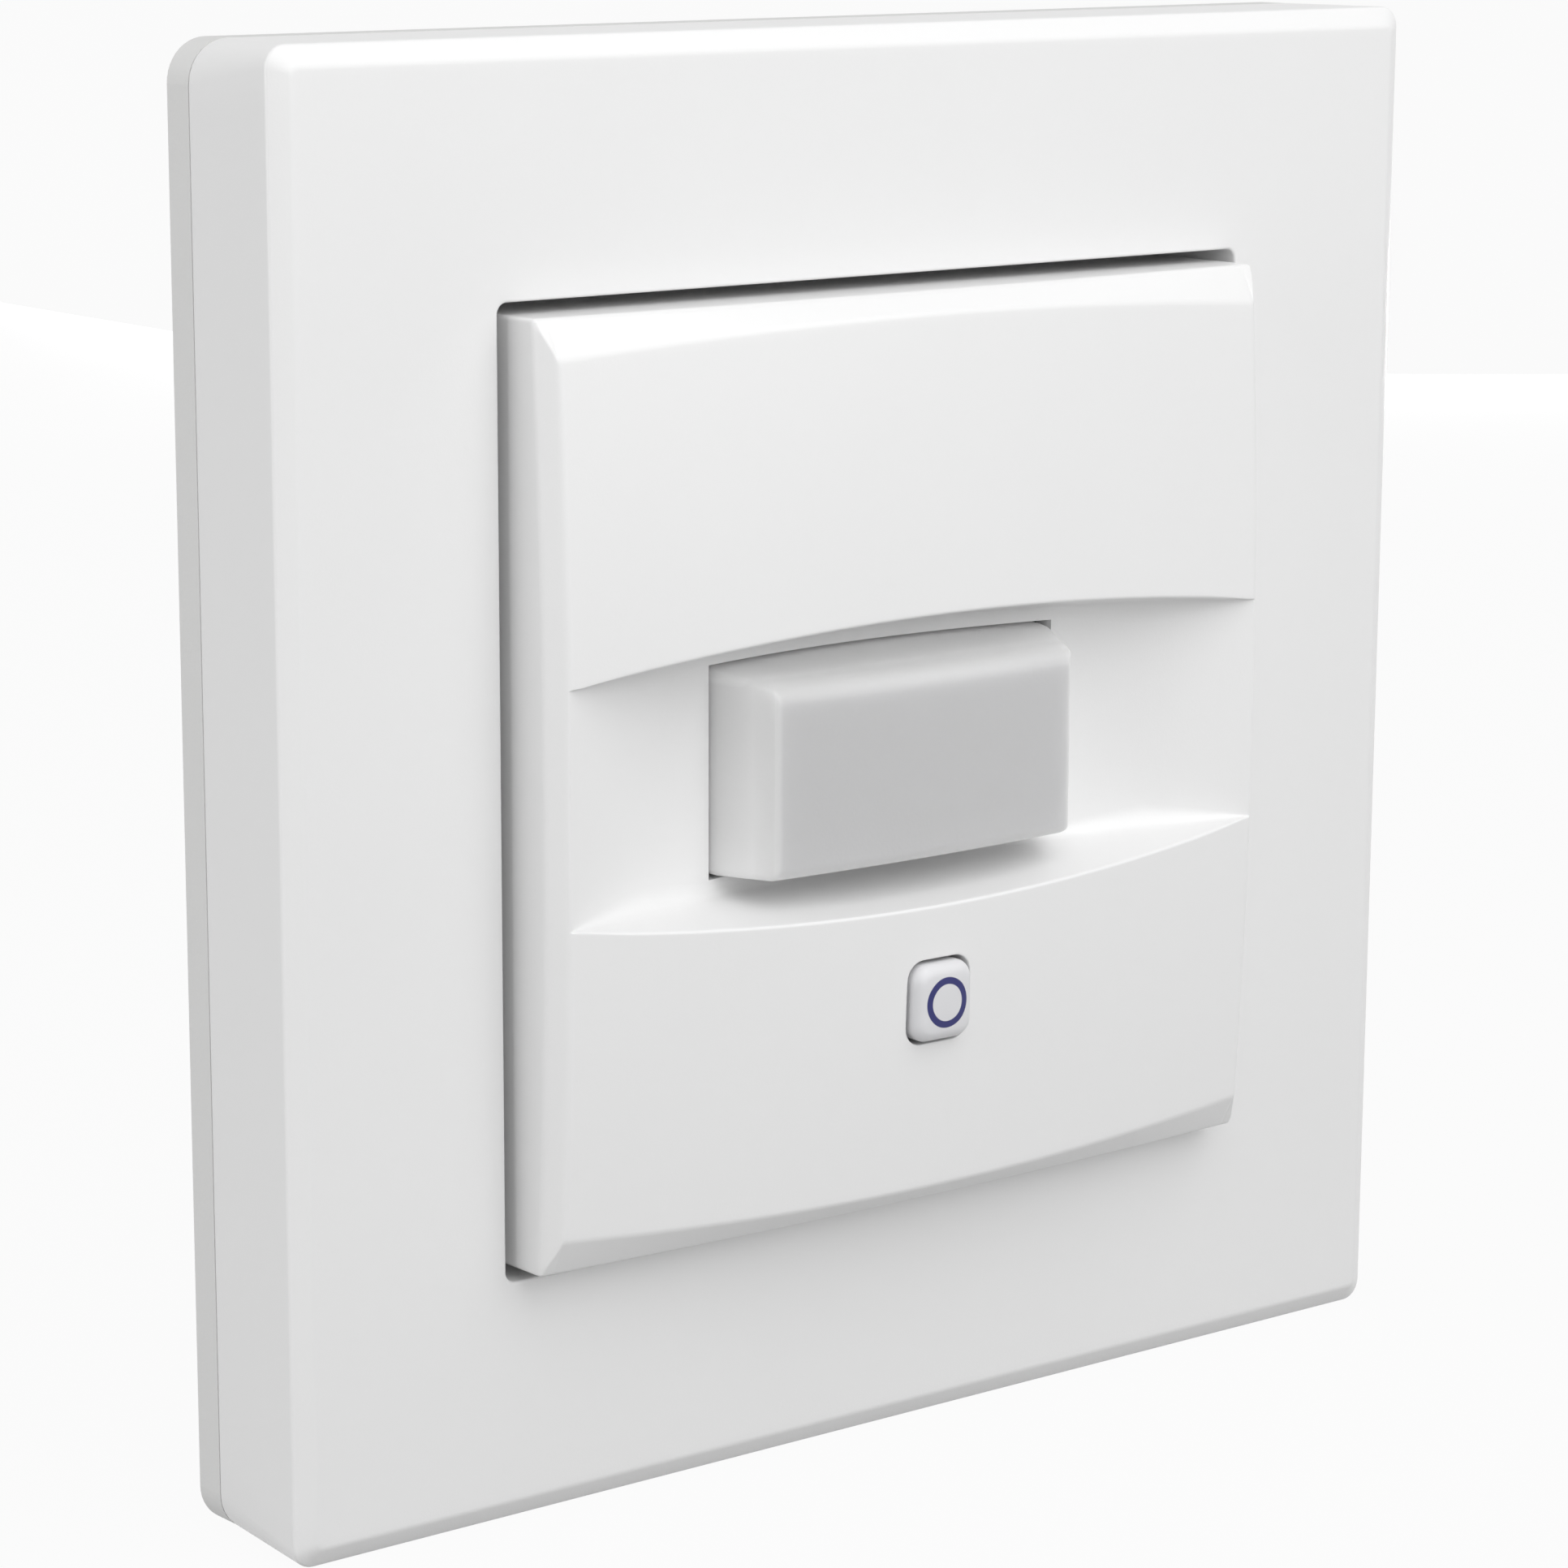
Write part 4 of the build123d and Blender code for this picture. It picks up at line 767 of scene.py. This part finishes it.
class WALLSWITCH_OT_rocker_cover(bpy.types.Operator):
    """Rocker plate: domed face, crescent bevels, eye-shaped scoop, lens opening and the button's hole"""

    bl_idname = "wall_switch.rocker_cover"
    bl_label = "Rocker cover"

    def execute(self, context):
        sizes = context.scene.wall_switch_plate
        half = PLATE_SPAN["x"][1]
        shape = PlateShape(sizes, half)
        # Columns of the grid, close together where the dome turns into the side bevel
        side = half - sizes.side_bevel
        turn = side + np.array([-0.5, -0.32, -0.22, -0.15, -0.08, 0.0,
                                0.05, 0.1, 0.16, 0.24, 0.34, 0.48, 0.62])
        right = np.concatenate([np.linspace(0, BLOCK_X, 11), np.linspace(BLOCK_X, sizes.eye_x, 10)[1:],
                                np.linspace(sizes.eye_x, side - 0.8, 15)[1:], turn, [shape.flat]])
        x = np.concatenate([-right[:0:-1], right])
        upper_z, upper_out = shape.rows(x)
        z = np.concatenate([upper_z, -upper_z[-2::-1]])
        out = np.concatenate([upper_out, upper_out[-2::-1]])
        grid_x = np.broadcast_to(x, z.shape)
        surface = Surface()
        # The inside is the face set back by the skin, and drawn in near its sides to leave the skirt
        inner = half - sizes.skin
        near = inner - 2.3

        def drawn_in(v):
            past = np.clip(np.abs(v) - near, 0, None)
            return np.sign(v) * (np.minimum(np.abs(v), near) + past * (inner - near) / (shape.flat - near))

        front = surface.add_points(grid_x, z, out)
        inner_face = drawn_in(grid_x), drawn_in(z), out - sizes.skin
        rear = surface.add_points(*inner_face)
        # Both faces leave out the lens opening, four rows up and down from the middle, and the button's block
        rows, columns = z.shape
        keep = np.ones((rows - 1, columns - 1), bool)
        middle_x = (x[:-1] + x[1:]) / 2
        eye_rows = np.arange(rows // 2 - 4, rows // 2 + 4)
        keep[np.ix_(eye_rows, np.abs(middle_x) < sizes.eye_x)] = False
        block_x = np.flatnonzero(np.abs(x) <= BLOCK_X + NEAR)
        depth = -z[:, columns // 2]
        block_z = np.flatnonzero((depth >= BLOCK_Z[0] - NEAR) & (depth <= BLOCK_Z[1] + NEAR))
        keep[block_z[0]:block_z[-1], block_x[0]:block_x[-1]] = False
        for numbers, flip in ((front, False), (rear, True)):
            quads = grid_quads(numbers).reshape(rows - 1, columns - 1, 4)[keep]
            surface.add_quads(quads, flip)
        # Walls of the lens opening
        eye_columns = np.flatnonzero(np.abs(x) <= sizes.eye_x + NEAR)
        eye = eye_rows[0], eye_rows[-1] + 1, eye_columns[0], eye_columns[-1]
        surface.add_quads(grid_quads(np.stack([self.loop(front, *eye), self.loop(rear, *eye)]), closed=True))
        block = block_z[0], block_z[-1], block_x[0], block_x[-1]
        self.button_hole(surface, shape, [self.loop(v, *block) for v in (front, rear, grid_x, z)], sizes)
        whole = 0, rows - 1, 0, columns - 1
        self.skirt(surface, shape, [self.loop(v, *whole) for v in (grid_x, z, out, *inner_face)], inner)
        self.posts(surface, inner)
        piece = surface.build("rocker_cover", sharp=40.0)
        finishes = context.scene.wall_switch_finishes
        material = plastic("white_rocker_plastic", finishes.white, 0.33, grain=0.10, depth=0.006)
        dress(piece, material, "rocker", "rocker_plate")
        return {"FINISHED"}

    @staticmethod
    def loop(numbers, top, bottom, left, right):
        """The point numbers round a block of the grid, in order."""
        return np.concatenate([numbers[top, left:right], numbers[top:bottom, right],
                               numbers[bottom, right:left:-1], numbers[bottom:top:-1, left]])

    def button_hole(self, surface, shape, block, sizes):
        """Rings between a block of the grid and the rounded hole, each point on its ray from the middle.

        The block comes as loops: point numbers in front and behind, x and z."""
        outer, outer_rear, bx, bz = block
        middle = sum(BUTTON_SPAN["z"]) / 2
        half_x, half_z, radius = sizes.hole_x, sizes.hole_z, sizes.hole_corner
        angle = np.arctan2(bz - middle, bx)
        cos, sin = np.abs(np.cos(angle)), np.abs(np.sin(angle))
        reach = np.minimum(half_x / np.maximum(cos, 1e-9), half_z / np.maximum(sin, 1e-9))
        cx, cz = half_x - radius, half_z - radius
        towards = cos * cx + sin * cz
        on_arc = (reach * cos > cx) & (reach * sin > cz)
        arc = towards + np.sqrt(np.clip(towards ** 2 - cx ** 2 - cz ** 2 + radius ** 2, 0, None))
        reach = np.where(on_arc, arc, reach)
        hx, hz = reach * np.cos(angle), middle + reach * np.sin(angle)
        lip = 0.12
        share = np.array([0.3, 0.6, 0.8, 0.92, 1.0])[:, None]
        lead_x, lead_z = hx * (1 + lip / reach), middle + (hz - middle) * (1 + lip / reach)
        over = shape.on_face(bx + (lead_x - bx) * share, bz + (lead_z - bz) * share)
        knot = shape.on_face(hx, hz)
        turn = bend(shape.on_face(lead_x, lead_z), knot, knot - np.array([0, 0, lip])[:, None], 5)[1:]
        share = np.array([1.0, 1.0, 0.5])[:, None]
        under = shape.on_face(bx + (hx - bx) * share, bz + (hz - bz) * share, sizes.skin)
        numbers = surface.add_points(*np.moveaxis(np.concatenate([over, turn, under]), 1, 0))
        numbers = np.concatenate([outer[None], numbers, outer_rear[None]])
        surface.add_quads(grid_quads(numbers, closed=True))

    def skirt(self, surface, shape, border, inner):
        """The rounded rim, the outer wall, the foot and the inner wall, on rings with a fan at each corner.

        The border comes as loops round the whole grid: x, z and out of the face, then of the inside."""
        lx, lz = border[:2]
        turn = 7
        at_side = np.abs(lx) > shape.flat - NEAR
        corner = at_side & (np.abs(lz) > shape.flat - NEAR)
        repeat = np.where(corner, turn, 1)
        pick = np.repeat(np.arange(lx.size), repeat)
        within = np.concatenate([np.arange(n) for n in repeat[corner]])
        angle = np.where(at_side, np.where(lx > 0, 0.0, math.pi), np.sign(lz) * math.pi / 2)[pick]
        fan = corner[pick]
        quarter = np.arctan2(lz, lx)[pick]
        # The loop runs clockwise seen from the front, so a fan turns clockwise too
        angle[fan] = quarter[fan] + math.pi / 4 - within / (turn - 1) * math.pi / 2
        lx, lz, lo, ix, iz, io = (v[pick] for v in border)
        nx, nz = np.cos(angle), np.sin(angle)
        edge = shape.s.edge
        rim = shape.rim(np.minimum(np.abs(lx), np.abs(lz)))
        start = np.stack([lx, lz, lo])
        knot = np.stack([lx + nx * edge, lz + nz * edge, rim])
        rings = list(bend(start, knot, knot - np.array([0, 0, 0.3])[:, None], 7))
        foot = np.full_like(rim, PLATE_SPAN["out"][0])
        inside = np.clip(knot[:2], -inner, inner)
        for place, level in ((knot[:2], rim - 0.6), (knot[:2], foot + 0.3), (knot[:2], foot), (inside, foot),
                             (inside, foot + 0.3)):
            rings.append(np.stack([*place, level]))
        rings.append(np.stack([ix, iz, io]))
        surface.add_rings(*np.moveaxis(np.array(rings), 1, 0))

    def posts(self, surface, inner):
        """The pivot pins inside the skirts and the posts over the switches, each with an eased edge."""
        pin_end, pin_radius, axis_out = 24.7, 1.2, 6.8
        along = np.array([pin_end, pin_end, pin_end + 0.1, inner + 0.2, inner + 0.2])
        post_half, post_end, post_root, switch_z = 1.5, 13.8, 15.1, 20.6
        reach = post_half * np.array([0.0, 0.9, 1.0, 1.0, 0.0])
        level = np.array([post_end, post_end, post_end + 0.15, post_root, post_root])[:, None]
        x, z, _ = rounded_square(reach, reach, reach / 6, 3, 4)
        pin = [0.0, pin_radius - 0.1, pin_radius, pin_radius, 0.0]
        for side in (-1, 1):
            turned(surface, side * along, pin, 0.0, axis_out)
            surface.add_rings(x, z + side * switch_z, level)


class WALLSWITCH_OT_lens_hood(bpy.types.Operator):
    """Frosted lens: a hood with sloping ends, a bowed front with soft edges and a flange at its foot"""

    bl_idname = "wall_switch.lens_hood"
    bl_label = "Lens hood"

    def execute(self, context):
        s = context.scene.wall_switch_lens
        foot = LENS_SPAN["out"][0]
        ease, corner = 0.08, 1.2
        flange_x, flange_z, flange_top = LENS_SPAN["x"][1], LENS_SPAN["z"][1], foot + s.flange
        # From the middle of the inside out round the flange and up to the middle of the front
        inner_x, inner_z, inner_out = (rows[::-1] for rows in self.hood(s, s.wall, foot))
        outer_x, outer_z, outer_out = self.hood(s, 0.0, foot)
        draw = np.array([0.4, ease, 0.0, 0.0, ease])
        level = np.array([foot, foot, foot + ease, flange_top - ease, flange_top])[:, None]
        fx, fz, _ = rounded_square(flange_x - draw, flange_z - draw, corner - draw, 12, 8)
        surface = Surface()
        surface.add_rings(
            np.concatenate([inner_x, fx, outer_x[:1], outer_x]),
            np.concatenate([inner_z, fz, outer_z[:1], outer_z]),
            np.concatenate([inner_out, np.broadcast_to(level, fx.shape),
                            np.full_like(outer_out[:1], flange_top), np.maximum(outer_out, flange_top)]))
        piece = surface.build("lens_hood", sharp=60.0)
        finishes = context.scene.wall_switch_finishes
        material = frosted_lens("frosted_lens_plastic", finishes.lens, finishes.lens_painted_shade)
        dress(piece, material, "base", "lens")
        return {"FINISHED"}

    def hood(self, s, inset, foot):
        """Rings up the hood's sides, round its front edge and in to the middle of its bowed front.

        The front stands out by the bow times one less the square of x over its half length."""
        narrow = s.half_x - s.narrows - inset * 0.9
        wide = s.half_x - inset
        half_z = s.half_z - inset
        front = s.front - inset
        levels = np.array([foot, foot + 1.0, s.shoulder - 0.6, s.shoulder, s.shoulder + 0.6,
                           s.front - 2.4, s.front - 1.8])
        share = np.clip((levels - s.shoulder) / (s.front - s.shoulder), 0, 1)
        corner = max(0.55 - inset * 0.4, 0.15)
        x, z, _ = rounded_square(wide + (narrow - wide) * share, half_z, corner, 12, 8)
        out = np.broadcast_to(levels[:, None], x.shape)
        z = self.sloped(s, z, out, half_z)
        # Round the front edge each side draws in by its own radius, so the ring stays a rounded rectangle
        turn = np.linspace(0, math.pi / 2, 9)
        draw = 1 - np.cos(turn)
        ease = 1.0 if inset == 0 else 0.5
        top, bottom, end = s.top_edge * ease, s.bottom_edge * ease, s.end_edge * ease
        ring_x, ring_z, upward = rounded_square(
            narrow - end * draw, half_z - (top + bottom) / 2 * draw, corner * (1 - 0.6 * draw), 12, 8)
        ring_z = ring_z + ((bottom - top) / 2 * draw)[:, None]
        upper, lower = np.clip(upward, 0, 1) ** 2, np.clip(-upward, 0, 1) ** 2
        edge = end + (top - end) * upper + (bottom - end) * lower
        bow = front + s.bow * (1 - np.clip(ring_x / narrow, -1, 1) ** 2)
        round_out = bow - edge * (1 - np.sin(turn)[:, None])
        slip = 1 - np.clip((round_out - s.shoulder) / (front - s.shoulder), 0, 1)
        round_x = ring_x * (1 + slip * (wide - narrow) / narrow)
        round_z = self.sloped(s, ring_z, round_out, half_z) + s.lift
        middle = s.lift + (bottom - top - s.top_slope) / 2
        shrink = np.array([0.9, 0.7, 0.45, 0.2, 0.0])[:, None]
        cap_x, cap_z = round_x[-1] * shrink, middle + (round_z[-1] - middle) * shrink
        cap_out = front + s.bow * (1 - np.clip(cap_x / narrow, -1, 1) ** 2)
        keep = out[:, 0] < (round_out[0].min() - 0.05)
        return (np.concatenate([x[keep], round_x, cap_x]),
                np.concatenate([z[keep] + s.lift, round_z, cap_z]),
                np.concatenate([out[keep], round_out, cap_out]))

    @staticmethod
    def sloped(s, z, out, half_z):
        """Lowers the hood's upper side in step with the distance past the scoop's floor."""
        floor = 9.0
        way = np.clip((out - floor) / (s.front - floor), 0, 1)
        return z - s.top_slope * way * np.clip(z / half_z, 0, 1)


class WALLSWITCH_OT_button_cap(bpy.types.Operator):
    """Push-button: a pillow-shaped cap with a printed ring and a flange behind the plate"""

    bl_idname = "wall_switch.button_cap"
    bl_label = "Button cap"

    def execute(self, context):
        s = context.scene.wall_switch_button
        back, front = BUTTON_SPAN["out"]
        middle = sum(BUTTON_SPAN["z"]) / 2
        flange_x, flange_z = BUTTON_SPAN["x"][1], BUTTON_SPAN["z"][1] - middle
        turn = np.linspace(0, math.pi / 2, 9)
        ease, flange_top, rim = 0.05, back + 0.5, front - s.crown
        draw = np.concatenate([[ease, 0.0, 0.0, ease, s.neck, s.neck], s.neck + s.edge * (1 - np.cos(turn))])
        level = np.concatenate([[back, back + ease, flange_top - ease, flange_top, flange_top, rim - 1.2],
                                rim - s.edge * (1 - np.sin(turn))])
        corner = np.concatenate([[0.35, 0.4, 0.4, 0.35, s.corner, s.corner],
                                 s.corner - s.edge * 0.75 * (1 - np.cos(turn))])
        x, z, _ = rounded_square(flange_x - draw, flange_z - draw, corner, 6, 7)
        out = np.broadcast_to(level[:, None], x.shape)
        # The front swells by the crown times one less the square of the way from its middle
        shrink = np.array([0.85, 0.65, 0.4, 0.15, 0.0])[:, None]
        cap_x, cap_z = x[-1] * shrink, z[-1] * shrink
        cap_out = np.broadcast_to(front - s.crown * shrink ** 2, cap_x.shape)
        foot_x, foot_z = x[0] * shrink[::-1], z[0] * shrink[::-1]
        x, z = np.concatenate([foot_x, x]), np.concatenate([foot_z, z])
        out = np.concatenate([np.full_like(foot_x, back), out])
        surface = Surface()
        z = np.concatenate([z, cap_z]) + middle
        surface.add_rings(np.concatenate([x, cap_x]), z, np.concatenate([out, cap_out]))
        piece = surface.build("button_cap", sharp=50.0)
        finishes = context.scene.wall_switch_finishes
        material = printed_cap(
            "printed_button_plastic", finishes.button, finishes.ink, middle, s.ring, s.stroke, front - 0.6)
        dress(piece, material, "button", "push_button")
        return {"FINISHED"}


class WALLSWITCH_OT_cells(bpy.types.Operator):
    """The two round cells, each turned about its own axis from a profile with rolled edges"""

    bl_idname = "wall_switch.cells"
    bl_label = "Cells"

    def execute(self, context):
        finishes = context.scene.wall_switch_finishes
        for node, sign in (("battery_upper", 1), ("battery_lower", -1)):
            size = span(node)
            radius = (size["z"][1] - size["z"][0]) / 2
            end = size["x"][1]
            # The minus end's dish, the sleeve and the plus end's step and cap
            along = np.array([-end, -end, -end + 0.15, -end + 0.15, -end, -end + 0.12, -end + 0.45,
                              end - 1.5, end - 1.15, end - 1.0, end - 1.0, end - 0.9, end - 0.12, end, end])
            reach = np.array([0.0, 3.2, 3.4, 4.2, 4.5, 5.05, radius,
                              radius, 5.1, 4.7, 2.3, 1.95, 1.9, 1.75, 0.0])
            surface = Surface()
            turned(surface, sign * along, reach, sum(size["z"]) / 2, sum(size["out"]) / 2, count=64)
            piece = surface.build(node.replace("battery", "cell"), sharp=35.0)
            material = cell_sleeve(f"{piece.name}_sleeve", finishes.sleeve, finishes.band, sign, 2 * end)
            dress(piece, material, "base", node)
        return {"FINISHED"}


class WALLSWITCH_OT_inner_finishes(bpy.types.Operator):
    """Finishes of the solids that stay as they are: chassis, plate, boards, switches and metal parts"""

    bl_idname = "wall_switch.inner_finishes"
    bl_label = "Inner finishes"

    def execute(self, context):
        finishes = context.scene.wall_switch_finishes
        board = board_laminate("board_solder_mask", finishes.board)
        strip = metal("nickel_strip", (0.66, 0.64, 0.60), 0.25)
        black, dark, grey, resin = (0.02,) * 3, (0.045, 0.045, 0.05), (0.22, 0.22, 0.23), (0.75, 0.72, 0.60)
        chosen = (
            (plastic("grey_white_plate_plastic", finishes.plate, 0.5, 0.25, 0.02), "mounting_plate"),
            (plastic("grey_white_chassis_plastic", finishes.chassis, 0.5, 0.25, 0.02), "chassis"),
            (plastic("black_holder_plastic", black, 0.55, 0.2, 0.02), "lens_holder"),
            (board, "main_board", "sensor_board"),
            (board_laminate("module_solder_mask", finishes.module), "radio_board"),
            (strip, "plus_contacts", "minus_contacts"),
            (metal("tinned_strip", (0.70, 0.69, 0.66), 0.3), "aerial"),
            (metal("zinc_screw", (0.62, 0.62, 0.60), 0.35), "board_screws"),
            (metal("drawn_can", (0.72, 0.70, 0.66), 0.28), "pyro_sensor"),
            (metal("tinned_can", (0.72, 0.72, 0.70), 0.32), "radio_shield"),
            (metal("sleeved_can", (0.60, 0.61, 0.63), 0.3), "buffer_capacitor"),
            (plastic("dark_filter", (0.012, 0.010, 0.014), 0.08, depth=0.001, coat=1.0), "pyro_window"),
            (plastic("black_header_plastic", black, 0.45), "board_link"),
            (plastic("black_spacer_plastic", black, 0.45), "sensor_spacer"),
            (plastic("dark_switch_plastic", dark, 0.45), "upper_switch", "lower_switch", "button_switch"),
            (plastic("grey_stem_plastic", grey, 0.4), "upper_stem", "lower_stem", "button_stem"),
            (plastic("black_epoxy", (0.018, 0.018, 0.02), 0.5, grain=0.08), "controller_chip"),
            (plastic("clear_resin", resin, 0.15, coat=0.6), "status_light", "light_sensor"),
        )
        for material, *nodes in chosen:
            for node in nodes:
                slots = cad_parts[node].data.materials
                slots.clear()
                slots.append(material)
        return {"FINISHED"}


class WALLSWITCH_OT_stage(bpy.types.Operator):
    """Floor, backdrop, lamps and the camera at the photograph's place"""

    bl_idname = "wall_switch.stage"
    bl_label = "Stage"

    def execute(self, context):
        s = context.scene.wall_switch_stage
        floor_z = cad_box[0][2] / MM
        # A sweep in one profile: the floor, then a quarter turn up into the backdrop
        near, far, high, half_wide, turn_radius = -900.0, 700.0, 1400.0, 1500.0, 250.0
        angle = np.linspace(0, math.pi / 2, 16)
        depth = np.concatenate([[near, near / 3], far - turn_radius * (1 - np.sin(angle)), [far]])
        height = np.concatenate([[0.0, 0.0], turn_radius * (1 - np.cos(angle)), [high]])
        x = np.linspace(-half_wide, half_wide, 7)[:, None]
        surface = Surface()
        numbers = surface.add_points(x, floor_z + height[None], -depth[None])
        surface.add_quads(grid_quads(numbers))
        sweep = surface.build("backdrop", sharp=60.0)
        material, tree, shader = new_material("paper_backdrop")
        values = {"Tint": (0.35, 0.35, 0.35, 1.0), "Grain Size": 1.5, "Mottling": 0.01, "Roughness": 0.9}
        place_group(tree, shader, moulded_skin_group(), values, 0.02)
        shader.inputs["Specular IOR Level"].default_value = 0.1
        # Seen directly it is nearly white with a little of the shadow, but it lights the pieces like grey
        white_share = math_in(tree, "MULTIPLY", beyond_diffuse(tree), 0.95)
        white = node_in(tree, "Emission", {"Color": (1, 1, 1, 1), "Strength": 1.0}).outputs[0]
        mix = node_in(tree, "MixShader", {0: white_share, 1: shader.outputs["BSDF"], 2: white})
        tree.links.new(mix.outputs[0], tree.nodes["Material Output"].inputs["Surface"])
        sweep.data.materials.append(material)
        world = bpy.data.worlds.new("soft_sky")
        context.scene.world = world
        world.use_nodes = True
        sky = world.node_tree
        sky.nodes.clear()
        levels = {"Value": beyond_diffuse(sky), "To Min": s.sky, "To Max": 1.0}
        strength = node_in(sky, "MapRange", levels).outputs[0]
        shade = node_in(sky, "Background", {"Color": (1, 1, 1, 1), "Strength": strength})
        end = sky.nodes.new("ShaderNodeOutputWorld")
        sky.links.new(shade.outputs[0], end.inputs["Surface"])
        lamps = (
            ("key_lamp", (0.02, -0.25, 0.19), (0.45, 0.45), s.key_power),
            ("fill_lamp", (-1.05, 0.16, 0.2), (0.8, 0.8), s.fill_power),
            ("back_lamp", (0.35, 0.45, -0.034), (0.5, 0.014), s.back_power),
        )
        for name, place, (wide, high), watts in lamps:
            lamp = bpy.data.lights.new(name, "AREA")
            lamp.shape, lamp.size, lamp.size_y, lamp.energy = "RECTANGLE", wide, high, watts
            rig = bpy.data.objects.new(name, lamp)
            rig.location = place
            rig.visible_camera = False
            rig.rotation_euler = (-Vector(place)).to_track_quat("-Z", "Y").to_euler()
            context.scene.collection.objects.link(rig)
        self.camera(context.scene)
        context.scene.view_settings.view_transform = "Standard"
        return {"FINISHED"}

    @staticmethod
    def camera(scene):
        """The camera fitted to the photograph: bearing, height and roll about a point on the face."""
        azimuth, elevation, roll = math.radians(-38.564), math.radians(12.83), math.radians(0.113)
        target, distance = Vector((-10.919, -10.6, -9.223)) * MM, 291.969 * MM
        back = Vector((math.sin(azimuth) * math.cos(elevation), -math.cos(azimuth) * math.cos(elevation),
                       math.sin(elevation)))
        data = bpy.data.cameras.new("photo_camera")
        data.sensor_width, data.lens = 36.0, 112.77
        data.shift_x, data.shift_y = 0.0263, 0.0873
        data.clip_start, data.clip_end = 0.01, 10.0
        camera = bpy.data.objects.new("photo_camera", data)
        turn = (-back).to_track_quat("-Z", "Y").to_matrix().to_4x4() @ Matrix.Rotation(roll, 4, "Z")
        camera.matrix_world = Matrix.Translation(target + back * distance) @ turn
        scene.collection.objects.link(camera)
        scene.camera = camera


class WALLSWITCH_PT_panel(bpy.types.Panel):
    """Lists the steps in the 3D view's sidebar"""

    bl_idname = "WALLSWITCH_PT_panel"
    bl_label = "Wall switch"
    bl_space_type = "VIEW_3D"
    bl_region_type = "UI"
    bl_category = "Wall switch"

    def draw(self, context):
        for operator in OPERATORS:
            self.layout.operator(operator.bl_idname)
        for group in GROUPS:
            settings = getattr(context.scene, group)
            box = self.layout.box()
            for name in settings.bl_rna.properties.keys():
                if name not in ("rna_type", "name"):
                    box.prop(settings, name)


OPERATORS = (
    WALLSWITCH_OT_frame_cover,
    WALLSWITCH_OT_rocker_cover,
    WALLSWITCH_OT_lens_hood,
    WALLSWITCH_OT_button_cap,
    WALLSWITCH_OT_cells,
    WALLSWITCH_OT_inner_finishes,
    WALLSWITCH_OT_stage,
)
GROUPS = {
    "wall_switch_frame": FrameSizes,
    "wall_switch_plate": PlateSizes,
    "wall_switch_lens": LensSizes,
    "wall_switch_button": ButtonSizes,
    "wall_switch_finishes": Finishes,
    "wall_switch_stage": StageSettings,
}


def register():
    """Registers the groups, operators and panel."""
    for name, group in GROUPS.items():
        bpy.utils.register_class(group)
        setattr(bpy.types.Scene, name, bpy.props.PointerProperty(type=group))
    for operator in OPERATORS:
        bpy.utils.register_class(operator)
    bpy.utils.register_class(WALLSWITCH_PT_panel)


def unregister():
    """Takes them out again."""
    bpy.utils.unregister_class(WALLSWITCH_PT_panel)
    for operator in reversed(OPERATORS):
        bpy.utils.unregister_class(operator)
    for name, group in GROUPS.items():
        delattr(bpy.types.Scene, name)
        bpy.utils.unregister_class(group)


def main():
    """Builds every piece and the stage."""
    register()
    for operator in OPERATORS:
        family, _, step = operator.bl_idname.partition(".")
        getattr(getattr(bpy.ops, family), step)()


if __name__ == "__main__":
    main()
